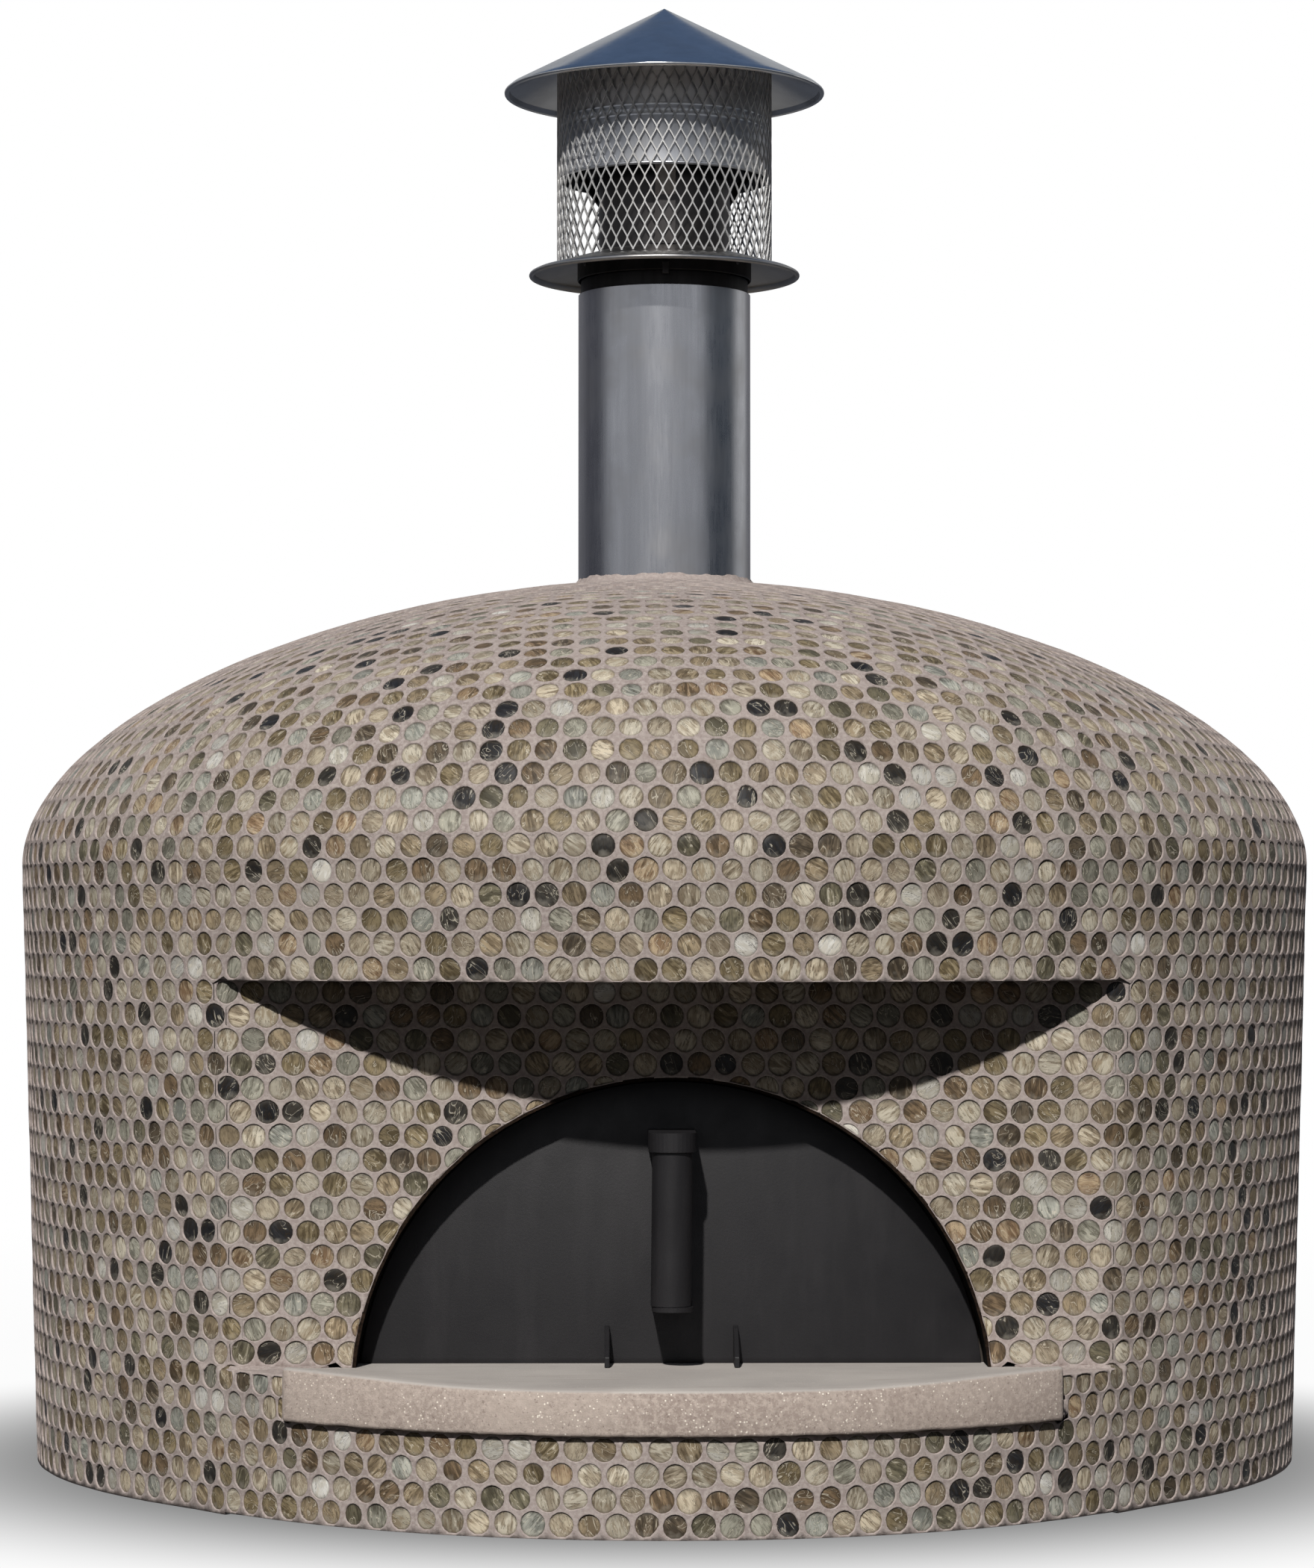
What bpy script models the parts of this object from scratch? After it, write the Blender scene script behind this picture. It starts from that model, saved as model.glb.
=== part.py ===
"""Wood fired pizza oven: a mosaic dome oven with a lift-out steel door and a capped flue.

Units are metres and +Z is up. The origin is on the oven's vertical axis at the underside of
the base, and the mouth faces -Y. Every piece is one closed solid in an object of its own.
"""

import math

import bmesh
import bpy

# ---------------------------------------------------------------- driving dimensions
GAP = 0.0003                 # clearance between pieces that touch

# Outside shape: a drum that widens slightly upwards, and a low dome on top of it.
BASE_RADIUS = 0.554          # outside of the mosaic at the ground
SPRING_RADIUS = 0.5695       # outside of the mosaic where the dome springs
SPRING_Z = 0.5216
DOME_RISE = 0.2551
DOME_ROUND = 1.158           # powers of cosine and sine that make the shoulder fuller
DOME_FLAT = 1.061
MOSAIC = 0.006
SHELL = 0.020
ROUND_STEPS = 56
DOME_STEPS = 7
SWELL = 0.058                # the dome's front is fuller than its sides by this much
SWELL_HEIGHTS = (0.12, 0.70)        # shares of the rise between which the fullness grows
SWELL_RADII = (0.08, 0.29)          # and radii over which it dies away towards the flue

# Levels of the floor build-up.
SLAB_TOP = 0.037
HEARTH_Z = 0.117             # top of the cooking floor and of the landing shelf
HEARTH_THICK = 0.035
HEARTH_BOTTOM = HEARTH_Z - HEARTH_THICK

# Front recess under the overhang of the dome.
FACET_Y = -0.437             # face of the mosaic on the flat front
OVERHANG_Z = 0.424           # lower edge of the overhanging skirt

# Mouth, an arch struck from a centre just below the hearth.
MOUTH_CENTRE_Z = 0.0925
FACET_MOUTH_RADIUS = 0.2555
FRAME_RADIUS = 0.2550
FRAME_THICK = 0.003
FRAME_FLANGE = 0.030
DOOR_RADIUS = 0.2498
DOOR_FRONT_Y = -0.400
DOOR_THICK = 0.005
REFRACTORY_MOUTH_RADIUS = 0.222
REFRACTORY_MOUTH_OUTER = 0.290
HEARTH_FRONT_Y = -0.394      # joint between the landing shelf and the floor tiles
ARCH_STEPS = 40

# Refractory dome and its wrappings, struck from the middle of the hearth.
CHAMBER_RADIUS = 0.360
REFRACTORY_THICK = 0.065
BLANKET_THICK = 0.025
CROWN_FLAT_Z = 0.532         # the dome's crown is flat here, for the flue spigot
TILE_HALF = 0.150            # half of a floor tile's side
SEAL_CLEARANCE = 0.003       # from the rope in the mouth to the arch frame's edges
BEYOND = 0.7                 # cutters reach this far, past everything they cut

# Landing shelf.
SHELF_HALF_WIDTH = 0.304
SHELF_END_Y = -0.497
SHELF_FRONT_Y = -0.6086
SHELF_EDGE = 0.0025

# Apron, the part of the base that swells out to carry the shelf.
APRON_INSET = 0.007          # from the shelf's front edge back to the mosaic below it
APRON_LOW = 0.004
APRON_HALF = 0.355
APRON_CORE_HALF = 0.330

# Flue, from the crown to the cap's collar.
PIPE_STEPS = 40
PIPE_RADIUS = 0.07725
PIPE_WALL = 0.0008
PIPE_TOP = 1.033
LINER_RADIUS = 0.0590
LINER_WALL = 0.0012
LINER_TOP = 1.028
SPIGOT_FLANGE_RADIUS = 0.092
SPIGOT_FLANGE_THICK = 0.005
SPIGOT_DEPTH = 0.055
SOCKET_TOP = 0.592
SOCKET_WALL = 0.005
ROPE_SEAL = 0.009            # rope between the pipe and the dome shell
ROPE_SEAL_TALL = 0.016
FILL_STOP = 0.005            # the flue's insulation ends this far below the liner's top
NECK_RADIUS = 0.0750
NECK_TOP = 1.0456
COLLAR_RADIUS = 0.07815
COLLAR_TOP = 1.0641
RIVET_RADIUS = 0.0028
RIVET_Z = 1.0575
RIVET_COUNT = 6
RIVET_START = -65            # degrees of the first rivet from the front, seen from above
CLIP_WIDTH = 0.006
CLIP_THICK = 0.0015
CLIP_HEIGHT = 0.011
CLIP_DROP = 0.004            # how far the clip hangs below the collar

# Cap.
FLANGE_RIM_RADIUS = 0.1217
FLANGE_RIM_Z = 1.053
FLANGE_SLOPE = math.tan(math.radians(16))
OUTLET_RADIUS = 0.0590
OUTLET_TOP = 1.1513
BAND_RADIUS = 0.0935
BAND_BOTTOM = 1.1363
BAND_TOP = 1.2295
BAND_RIDGES = (1.1803, 1.1893)
SCREEN_RADIUS = 0.0966
SCREEN_WALL = 0.0012
CONE_RIM_RADIUS = 0.144
CONE_RIM_Z = 1.2177
CONE_APEX_Z = 1.2930
RIM_ROLL = 0.0022            # radius of the rolled rims of the flange and the rain cone
SHEET = 0.001
BEAD = 0.0015                # rolled lower edge of the wind band
RIDGE_HALF = 0.003
RIDGE_HEIGHT = 0.0012
STRAP_WIDTH = 0.018
STRAP_THICK = 0.0012
STRAP_COUNT = 3
STRAP_BEND_Z = BAND_BOTTOM - 0.021      # the straps leave the outlet tube here
STRAP_FLARE_Z = BAND_BOTTOM + 0.017     # and run up inside the wind band from here
STRAP_TIP_RADIUS = 0.072
STRAP_CLEARANCE = 0.0022     # from the straps to the wind band and to the rain cone

# Door furniture.
HANDLE_Y = DOOR_FRONT_Y - 0.060
HANDLE_RADIUS = 0.016
HANDLE_WALL = 0.002
HANDLE_LOW_Z = 0.1678
HANDLE_HIGH_Z = 0.2890
HANDLE_LEAN = math.radians(0.6)
TOP_BRACKET_WIDTH = 0.0375
TOP_BRACKET_SKIRT = 0.0155
LOW_BRACKET_WIDTH = 0.0325
LOW_BRACKET_THICK = 0.004
FOOT_X = 0.0515
FOOT_THICK = 0.004
FOOT_HEIGHT = 0.030
FOOT_REACH = 0.038
FOOT_NOSE = 0.010            # depth of a foot at its top
FOOT_TIP = 0.008             # height of a foot at its front
HANDLE_X = -0.0006           # middle of the leaning handle

# ---------------------------------------------------------------- finishes
FINISHES = {                 # name: (colour, roughness, metallic)
    "mosaic": ((0.33, 0.29, 0.25), 0.25, 0.0),
    "concrete": ((0.47, 0.45, 0.42), 0.9, 0.0),
    "shelf_stone": ((0.58, 0.52, 0.47), 0.75, 0.0),
    "render_shell": ((0.55, 0.52, 0.49), 0.9, 0.0),
    "insulation": ((0.83, 0.81, 0.76), 1.0, 0.0),
    "refractory": ((0.72, 0.62, 0.48), 0.85, 0.0),
    "black_steel": ((0.04, 0.04, 0.042), 0.5, 0.0),
    "stainless": ((0.56, 0.56, 0.57), 0.25, 1.0),
    "cast_iron": ((0.12, 0.12, 0.12), 0.6, 1.0),
}


def finish(name):
    """The Principled material of this name, made the first time it is asked for."""
    if name in bpy.data.materials:
        return bpy.data.materials[name]
    colour, roughness, metallic = FINISHES[name]
    material = bpy.data.materials.new(name)
    material.use_nodes = True
    shader = material.node_tree.nodes["Principled BSDF"]
    shader.inputs["Base Color"].default_value = (*colour, 1.0)
    shader.inputs["Roughness"].default_value = roughness
    shader.inputs["Metallic"].default_value = metallic
    material.diffuse_color = (*colour, 1.0)
    return material


# ---------------------------------------------------------------- scene and helpers
def clear_scene():
    for old in list(bpy.data.objects):
        bpy.data.objects.remove(old, do_unlink=True)


def new_collection(name):
    collection = bpy.data.collections.new(name)
    bpy.context.scene.collection.children.link(collection)
    return collection


def add(name, data, look):
    """Puts a part into the oven's collection, or a cutter, which has no look, into the cutters'."""
    thing = bpy.data.objects.new(name, data)
    if look is None:
        CUTTERS.objects.link(thing)
        thing.hide_render = True
        thing.display_type = "WIRE"
    else:
        OVEN.objects.link(thing)
        data.materials.append(finish(look))
    return thing


def turned(name, outline, look, steps=ROUND_STEPS, cyclic=True):
    """A body turned about a vertical axis. The outline (radius, z) runs down its outer side."""
    mesh = bpy.data.meshes.new(name)
    edges = [(i, i + 1) for i in range(len(outline) - 1)]
    if cyclic:
        edges.append((len(outline) - 1, 0))
    mesh.from_pydata([(radius, 0, z) for radius, z in outline], edges, [])
    body = add(name, mesh, look)
    screw = body.modifiers.new("turn", "SCREW")
    screw.steps = screw.render_steps = steps
    screw.use_merge_vertices = True
    screw.merge_threshold = 0.00005
    screw.use_smooth_shade = False
    return body


def tube(name, radius, wall, low, high, look, steps=PIPE_STEPS):
    outline = [(radius, high), (radius, low), (radius - wall, low), (radius - wall, high)]
    return turned(name, outline, look, steps)


def disc(name, radius, low, high, look, steps=ROUND_STEPS, top_radius=None):
    outline = [(0, high), (top_radius or radius, high), (radius, low), (0, low)]
    return turned(name, outline, look, steps, cyclic=False)


def box(name, low, high, look):
    """A box between two corners, with its origin in its middle."""
    mesh = bpy.data.meshes.new(name)
    size = [b - a for a, b in zip(low, high)]
    shape = bmesh.new()
    bmesh.ops.create_cube(shape, size=1)
    bmesh.ops.scale(shape, vec=size, verts=shape.verts)
    shape.to_mesh(mesh)
    shape.free()
    body = add(name, mesh, look)
    body.location = [(a + b) / 2 for a, b in zip(low, high)]
    return body


def plate(name, outline, thick, look):
    """A flat outline in local X and Y, extruded evenly about local Z and made a mesh."""
    curve = bpy.data.curves.new(name + "_outline", "CURVE")
    curve.dimensions = "2D"
    curve.fill_mode = "BOTH"
    curve.extrude = thick / 2
    spline = curve.splines.new("POLY")
    spline.points.add(len(outline) - 1)
    for point, (x, y) in zip(spline.points, outline):
        point.co = (x, y, 0, 1)
    spline.use_cyclic_u = True
    drawn = bpy.data.objects.new(name + "_outline", curve)
    CUTTERS.objects.link(drawn)
    graph = bpy.context.evaluated_depsgraph_get()
    mesh = bpy.data.meshes.new_from_object(drawn.evaluated_get(graph))
    bpy.data.objects.remove(drawn)
    shape = bmesh.new()
    shape.from_mesh(mesh)
    bmesh.ops.remove_doubles(shape, verts=shape.verts, dist=0.00001)
    bmesh.ops.recalc_face_normals(shape, faces=shape.faces)
    shape.to_mesh(mesh)
    shape.free()
    return add(name, mesh, look)


def upright_plate(name, outline, front_y, back_y, look):
    """A plate whose outline is in X and Z, standing between two values of Y."""
    body = plate(name, outline, back_y - front_y, look)
    body.rotation_euler = (math.pi / 2, 0, 0)
    body.location = (0, (front_y + back_y) / 2, 0)
    return body


def boolean(body, operation, others):
    """Boolean steps, each followed by a weld of the points that it leaves almost together."""
    for other in others:
        step = body.modifiers.new(operation.lower(), "BOOLEAN")
        step.operation = operation
        step.solver = "EXACT"
        step.object = other
        weld = body.modifiers.new("weld", "WELD")
        weld.merge_threshold = 0.00003
    return body


def cut(body, *cutters):
    return boolean(body, "DIFFERENCE", cutters)


def keep_inside(body, *limits):
    return boolean(body, "INTERSECT", limits)


def join(body, *others):
    return boolean(body, "UNION", others)


def bevel(body, width, segments=2, angle=40):
    step = body.modifiers.new("edges", "BEVEL")
    step.width = width
    step.segments = segments
    step.limit_method = "ANGLE"
    step.angle_limit = math.radians(angle)
    return body


# ---------------------------------------------------------------- outlines
def wall_radius(z, inset=0.0):
    return BASE_RADIUS + (SPRING_RADIUS - BASE_RADIUS) * z / SPRING_Z - inset


def dome_points(inset, top_radius, low_z):
    """The dome's outline from its top hole down to low_z on the drum, moved in by the inset.

    The points lie at the same turns for every inset, so that nested domes stay apart.
    """
    radius = SPRING_RADIUS - inset
    rise = DOME_RISE - inset
    start = math.acos((top_radius / radius) ** (1 / DOME_ROUND)) if top_radius else math.pi / 2
    grid = [math.pi / 2 * step / DOME_STEPS for step in range(DOME_STEPS, -1, -1)]
    points = []
    for turn in [start] + [turn for turn in grid if turn < start - 0.02]:
        r = radius * max(math.cos(turn), 0) ** DOME_ROUND
        points.append((r, SPRING_Z + rise * math.sin(turn) ** DOME_FLAT))
    points.append((wall_radius(low_z, inset), low_z))
    return points


def smooth(value, start, stop):
    """Runs from 0 at the start to 1 at the stop, with level ends."""
    t = min(max((value - start) / (stop - start), 0), 1)
    return t * t * (3 - 2 * t)


def from_front(vertex):
    """Angle round the vertical axis from straight ahead, without its sign."""
    return abs(math.atan2(vertex.co.x, -vertex.co.y))


def split_alike(mesh):
    """Splits the quads of every dome the same way, so that bent ones stay apart.

    Each is cut from the upper corner nearer to the front to the lower corner further from it.
    """
    shape = bmesh.new()
    shape.from_mesh(mesh)
    for face in [face for face in shape.faces if len(face.verts) == 4]:
        a, b, c, d = face.verts
        high, low = (a, c) if a.co.z > c.co.z else (c, a)
        pair = (a, c) if from_front(high) < from_front(low) else (b, d)
        bmesh.utils.face_split(face, *pair)
    shape.to_mesh(mesh)
    shape.free()


def swollen(body, layer=0):
    """Makes a turned dome's shape real, and pushes the front half of it forwards.

    Deeper layers go a little less far, so that they keep clear of each other.
    """
    bpy.context.view_layer.update()
    graph = bpy.context.evaluated_depsgraph_get()
    mesh = bpy.data.meshes.new_from_object(body.evaluated_get(graph))
    split_alike(mesh)
    for vertex in mesh.vertices:
        x, y, z = vertex.co
        radius = math.hypot(x, y)
        if y < 0 and radius > 0:
            reach = (SWELL - 2 * GAP * layer) * smooth((z - SPRING_Z) / DOME_RISE, *SWELL_HEIGHTS)
            vertex.co.y = y * (1 + reach * smooth(radius, *SWELL_RADII) / radius)
    body.modifiers.clear()
    body.data = mesh
    return body


def sphere_points(radius, top_radius):
    """A round dome's outline from its top hole to the hearth, with a point every 15 degrees."""
    start = math.acos(top_radius / radius)
    below = [math.radians(15 * step) for step in range(5, -1, -1)]
    turns = [start] + [turn for turn in below if turn < start - 0.02]
    return [(radius * math.cos(t), HEARTH_Z + radius * math.sin(t)) for t in turns]


def arch_outline(radius, foot_z, steps=ARCH_STEPS):
    """A round arch with straight legs below its centre, as (x, z) points."""
    points = [(radius, foot_z)] if foot_z < MOUTH_CENTRE_Z else []
    start = math.asin(max(foot_z - MOUTH_CENTRE_Z, 0) / radius)
    for step in range(steps + 1):
        turn = start + (math.pi - 2 * start) * step / steps
        points.append((radius * math.cos(turn), MOUTH_CENTRE_Z + radius * math.sin(turn)))
    if foot_z < MOUTH_CENTRE_Z:
        points.append((-radius, foot_z))
    return points


def flange_z(radius):
    """Top of the cap's flange at this radius."""
    return FLANGE_RIM_Z + (FLANGE_RIM_RADIUS - radius) * FLANGE_SLOPE


def cone_z(radius):
    """Top of the rain cone at this radius."""
    return CONE_APEX_Z + (CONE_RIM_Z - CONE_APEX_Z) * radius / CONE_RIM_RADIUS


def shelf_arc():
    """Radius and centre (y) of the shelf's curved front edge."""
    bow = SHELF_END_Y - SHELF_FRONT_Y
    radius = (SHELF_HALF_WIDTH ** 2 + bow ** 2) / (2 * bow)
    return radius, SHELF_FRONT_Y + radius


def shelf_outline(grow=0.0, steps=24):
    """The landing shelf seen from above: straight back and ends, and a curved front edge."""
    half = SHELF_HALF_WIDTH
    radius, centre_y = shelf_arc()
    swing = math.asin(half / radius)
    points = [(-half - grow, HEARTH_FRONT_Y + grow)]
    for step in range(steps + 1):
        turn = -swing + 2 * swing * step / steps
        reach = radius + grow
        points.append((reach * math.sin(turn), centre_y - reach * math.cos(turn)))
    points[1] = (-half - grow, points[1][1])
    points[-1] = (half + grow, points[-1][1])
    points.append((half + grow, HEARTH_FRONT_Y + grow))
    return points


def apron_outline(half, front_inset, back_inset=None, steps=32):
    """A strip of the apron seen from above, in front of the drum.

    Its faces follow the shelf's front edge at these insets. Without a back inset, or where
    the drum stands further out than it, the strip ends at the drum.
    """
    radius, centre_y = shelf_arc()
    drum = wall_radius(HEARTH_Z) + GAP
    xs = [half * (2 * step / steps - 1) for step in range(steps + 1)]
    front, back = [], []
    for x in xs:
        reach = math.sqrt((radius - front_inset) ** 2 - x ** 2) - centre_y
        stop = math.sqrt(drum ** 2 - x ** 2)
        if back_inset is not None:
            stop = max(stop, math.sqrt((radius - back_inset) ** 2 - x ** 2) - centre_y)
        front.append((x, -reach))
        back.append((x, -stop))
    return front + back[::-1]


def round_ended(width, length, steps=16):
    """A strip from y = 0 to y = -length, with a round far end."""
    half = width / 2
    points = [(half, 0)]
    for step in range(steps + 1):
        turn = math.pi * step / steps
        points.append((half * math.cos(turn), -length - half * math.sin(turn)))
    points.append((-half, 0))
    return points


# ---------------------------------------------------------------- cutters
def recess_cutter(name, front_y, low_z, high_z):
    """The space in front of a plane and between two levels, across the whole oven."""
    return box(name, (-BEYOND, -BEYOND, low_z), (BEYOND, front_y, high_z), None)


def mouth_cutter(name, radius, front_y=-0.6, back_y=-0.05):
    return upright_plate(name, arch_outline(radius, 0.05), front_y, back_y, None)


def shelf_cutter():
    body = plate("shelf_space", shelf_outline(GAP), HEARTH_THICK + 0.01, None)
    body.location.z = HEARTH_BOTTOM - GAP + (HEARTH_THICK + 0.01) / 2
    return body


def chamber_cutter():
    """The cooking chamber: a low round wall and the dome's inside above it."""
    outline = [(0, HEARTH_Z + CHAMBER_RADIUS)]
    outline += sphere_points(CHAMBER_RADIUS, 0.06)
    outline += [(CHAMBER_RADIUS, HEARTH_BOTTOM - 0.01), (0, HEARTH_BOTTOM - 0.01)]
    return turned("chamber_space", outline, None, cyclic=False)


# ---------------------------------------------------------------- floor and base
def make_base():
    top_radius = wall_radius(SLAB_TOP, MOSAIC + GAP)
    slab = disc("base_slab", wall_radius(0, MOSAIC + GAP), 0, SLAB_TOP, "concrete",
                top_radius=top_radius)
    bevel(slab, 0.002, segments=1)
    board_radius = wall_radius(SLAB_TOP, MOSAIC + SHELL + 3 * GAP)
    disc("insulation_board", board_radius, SLAB_TOP + GAP, HEARTH_BOTTOM - GAP, "insulation")


def make_floor_tiles():
    """Nine refractory tiles, cut to the round chamber and to the throat of the mouth."""
    radius = CHAMBER_RADIUS - GAP
    rise = HEARTH_Z - MOUTH_CENTRE_Z
    throat_half = math.sqrt(REFRACTORY_MOUTH_RADIUS ** 2 - rise ** 2) - GAP
    reach = (-0.5, -TILE_HALF, TILE_HALF, 0.5)
    throat = box("throat_floor", (-throat_half, HEARTH_FRONT_Y + GAP, HEARTH_BOTTOM),
                 (throat_half, 0, HEARTH_Z), None)
    names = ("left", "middle", "right")
    rows = ("front", "centre", "rear")
    for row, row_name in enumerate(rows):
        for column, column_name in enumerate(names):
            cell = box(f"cell_{row_name}_{column_name}",
                       (reach[column] + GAP / 2, reach[row] + GAP / 2, 0),
                       (reach[column + 1] - GAP / 2, reach[row + 1] - GAP / 2, 0.2), None)
            tile = disc(f"floor_tile_{row_name}_{column_name}", radius, HEARTH_BOTTOM,
                        HEARTH_Z, "refractory")
            if row_name == "front":
                join(tile, throat)
            keep_inside(tile, cell)


def make_landing_shelf():
    shelf = plate("landing_shelf", shelf_outline(), HEARTH_THICK, "shelf_stone")
    shelf.location.z = HEARTH_Z - HEARTH_THICK / 2
    bevel(shelf, SHELF_EDGE, segments=2)


# ---------------------------------------------------------------- refractory core
def make_dome_segments(mouth_space, panel_space):
    """Four cast quarters of the refractory dome, cut for the mouth arch and the flat front."""
    outer = CHAMBER_RADIUS + REFRACTORY_THICK
    hole = LINER_RADIUS + SOCKET_WALL + 5 * GAP
    crown = CROWN_FLAT_Z - HEARTH_Z
    flat_radius = math.sqrt(outer ** 2 - crown ** 2)
    outline = [(hole, CROWN_FLAT_Z)] + sphere_points(outer, flat_radius)
    outline += [(outer, HEARTH_BOTTOM), (CHAMBER_RADIUS, HEARTH_BOTTOM)]
    outline += sphere_points(CHAMBER_RADIUS, hole)[::-1]
    quarters = {
        "front_left": (-1, -1), "front_right": (1, -1), "rear_left": (-1, 1), "rear_right": (1, 1),
    }
    for name, (side_x, side_y) in quarters.items():
        segment = turned(f"dome_segment_{name}", outline, "refractory")
        xs = sorted((side_x * GAP / 2, side_x * BEYOND))
        ys = sorted((side_y * GAP / 2, side_y * BEYOND))
        quarter = box(f"quarter_{name}", (xs[0], ys[0], 0), (xs[1], ys[1], BEYOND), None)
        keep_inside(segment, quarter)
        if side_y < 0:
            cut(segment, mouth_space, panel_space)


def make_mouth_arch(chamber_space):
    arch = upright_plate("mouth_arch", arch_outline(REFRACTORY_MOUTH_OUTER, HEARTH_BOTTOM),
                         HEARTH_FRONT_Y + GAP, -0.05, "refractory")
    opening = mouth_cutter("mouth_opening", REFRACTORY_MOUTH_RADIUS)
    cut(arch, opening, chamber_space)


def make_mouth_seal():
    """Ceramic rope between the arch frame's flange and the refractory arch."""
    front = flange_back_y() + GAP
    outer = FRAME_RADIUS + FRAME_FLANGE - SEAL_CLEARANCE
    seal = upright_plate("mouth_seal", arch_outline(outer, HEARTH_Z + GAP), front,
                         HEARTH_FRONT_Y, "insulation")
    inside = mouth_cutter("seal_inside", FRAME_RADIUS + SEAL_CLEARANCE)
    cut(seal, inside)


def make_insulation(mouth_space, panel_space, shelf_space):
    outer = CHAMBER_RADIUS + REFRACTORY_THICK + GAP
    blanket_outer = outer + BLANKET_THICK
    hole = SPIGOT_FLANGE_RADIUS + GAP
    outline = sphere_points(blanket_outer, hole)
    outline += [(blanket_outer, HEARTH_BOTTOM), (outer, HEARTH_BOTTOM)]
    outline += sphere_points(outer, hole)[::-1]
    blanket = turned("ceramic_blanket", outline, "insulation")
    cut(blanket, mouth_space, panel_space, shelf_space)

    inset = MOSAIC + SHELL + 4 * GAP
    pipe_hole = PIPE_RADIUS + GAP
    inner = blanket_outer + 5 * GAP
    skin = dome_points(inset, pipe_hole, HEARTH_BOTTOM)
    fill = swollen(turned("insulation_fill", [(0, skin[0][1])] + skin + [(0, HEARTH_BOTTOM)],
                          "insulation", cyclic=False), layer=4)
    below = HEARTH_BOTTOM - GAP
    core = sphere_points(inner, pipe_hole)
    blanket_space = turned("blanket_space",
                           [(0, core[0][1])] + core + [(inner, below), (0, below)], None,
                           cyclic=False)
    pipe_space = disc("pipe_space", pipe_hole, SPRING_Z, SPRING_Z + 2 * DOME_RISE, None)
    ledge_space = recess_cutter("ledge_space", FACET_Y + MOSAIC + SHELL + 2 * GAP, 0,
                                OVERHANG_Z + MOSAIC + SHELL + 2 * GAP)
    flange_space = disc("spigot_space", SPIGOT_FLANGE_RADIUS + GAP, CROWN_FLAT_Z - SPIGOT_DEPTH,
                        CROWN_FLAT_Z + 2 * SPIGOT_FLANGE_THICK, None)
    cut(fill, blanket_space, pipe_space, mouth_space, ledge_space, shelf_space, flange_space)


# ---------------------------------------------------------------- outer shells and mosaic
def make_wall_shell(shelf_space, facet_mouth):
    """The drum with its flat front panel, as one casting 20 mm thick."""
    low = SLAB_TOP + GAP
    high = OVERHANG_Z - GAP
    outside = disc("wall_shell", wall_radius(low, MOSAIC + GAP), low, high, "render_shell",
                   top_radius=wall_radius(high, MOSAIC + GAP))
    front = recess_cutter("wall_front", FACET_Y + MOSAIC + GAP, HEARTH_Z - GAP, high + 0.05)
    inside = disc("wall_inside", wall_radius(0, MOSAIC + SHELL + GAP), 0, SPRING_Z, None,
                  top_radius=wall_radius(SPRING_Z, MOSAIC + SHELL + GAP))
    panel_back = recess_cutter("panel_back", FACET_Y + MOSAIC + SHELL + GAP,
                               HEARTH_Z - SHELL, high + 0.15)
    cut(inside, panel_back)
    cut(outside, front, inside, facet_mouth, shelf_space)


def make_dome_shell():
    """The dome with its overhanging skirt and the soffit that closes the skirt in front."""
    pipe_hole = PIPE_RADIUS + ROPE_SEAL + 3 * GAP
    skin = dome_points(MOSAIC + GAP, pipe_hole, OVERHANG_Z)
    outline = [(0, skin[0][1])] + skin + [(0, OVERHANG_Z)]
    shell = swollen(turned("dome_shell", outline, "render_shell", cyclic=False), layer=1)
    soffit_skin = recess_cutter("soffit_skin", FACET_Y + MOSAIC, OVERHANG_Z - 0.05,
                                OVERHANG_Z + MOSAIC + GAP)
    outline = dome_points(MOSAIC + SHELL + GAP, 0, OVERHANG_Z - 0.05)
    inside = swollen(turned("dome_inside", outline + [(0, OVERHANG_Z - 0.05)], None,
                            cyclic=False), layer=2)
    soffit = recess_cutter("soffit", FACET_Y + MOSAIC + SHELL + GAP, 0,
                           OVERHANG_Z + MOSAIC + SHELL + GAP)
    cut(inside, soffit)
    hole = disc("pipe_hole", pipe_hole, SPRING_Z, SPRING_Z + 2 * DOME_RISE, None)
    cut(shell, soffit_skin, inside, hole)


def make_mosaic(shelf_space, facet_mouth):
    high = OVERHANG_Z - GAP
    outline = [(wall_radius(high), high), (wall_radius(0.002), 0.002),
               (wall_radius(0.002, MOSAIC), 0.002), (wall_radius(high, MOSAIC), high)]
    wall = turned("mosaic_wall", outline, "mosaic")
    front = recess_cutter("mosaic_front", FACET_Y, HEARTH_Z, high + 0.05)
    cut(wall, front, shelf_space)

    facet = disc("mosaic_facet", wall_radius(HEARTH_Z, MOSAIC + GAP), HEARTH_Z + GAP, high,
                 "mosaic", top_radius=wall_radius(high, MOSAIC + GAP))
    slice_box = box("facet_slice", (-BEYOND, FACET_Y, 0),
                    (BEYOND, FACET_Y + MOSAIC - GAP, SPRING_Z), None)
    keep_inside(facet, slice_box)
    cut(facet, facet_mouth)

    outline = dome_points(0, PIPE_RADIUS + GAP, OVERHANG_Z)
    outline += dome_points(MOSAIC, PIPE_RADIUS + GAP, OVERHANG_Z)[::-1]
    swollen(turned("mosaic_dome", outline, "mosaic"))

    low = OVERHANG_Z
    high = OVERHANG_Z + MOSAIC
    soffit = disc("mosaic_soffit", wall_radius(low, MOSAIC + GAP), low, high, "mosaic",
                  top_radius=wall_radius(high, MOSAIC + GAP))
    keep_inside(soffit, recess_cutter("soffit_slice", FACET_Y + MOSAIC - GAP, 0, SPRING_Z))


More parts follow.
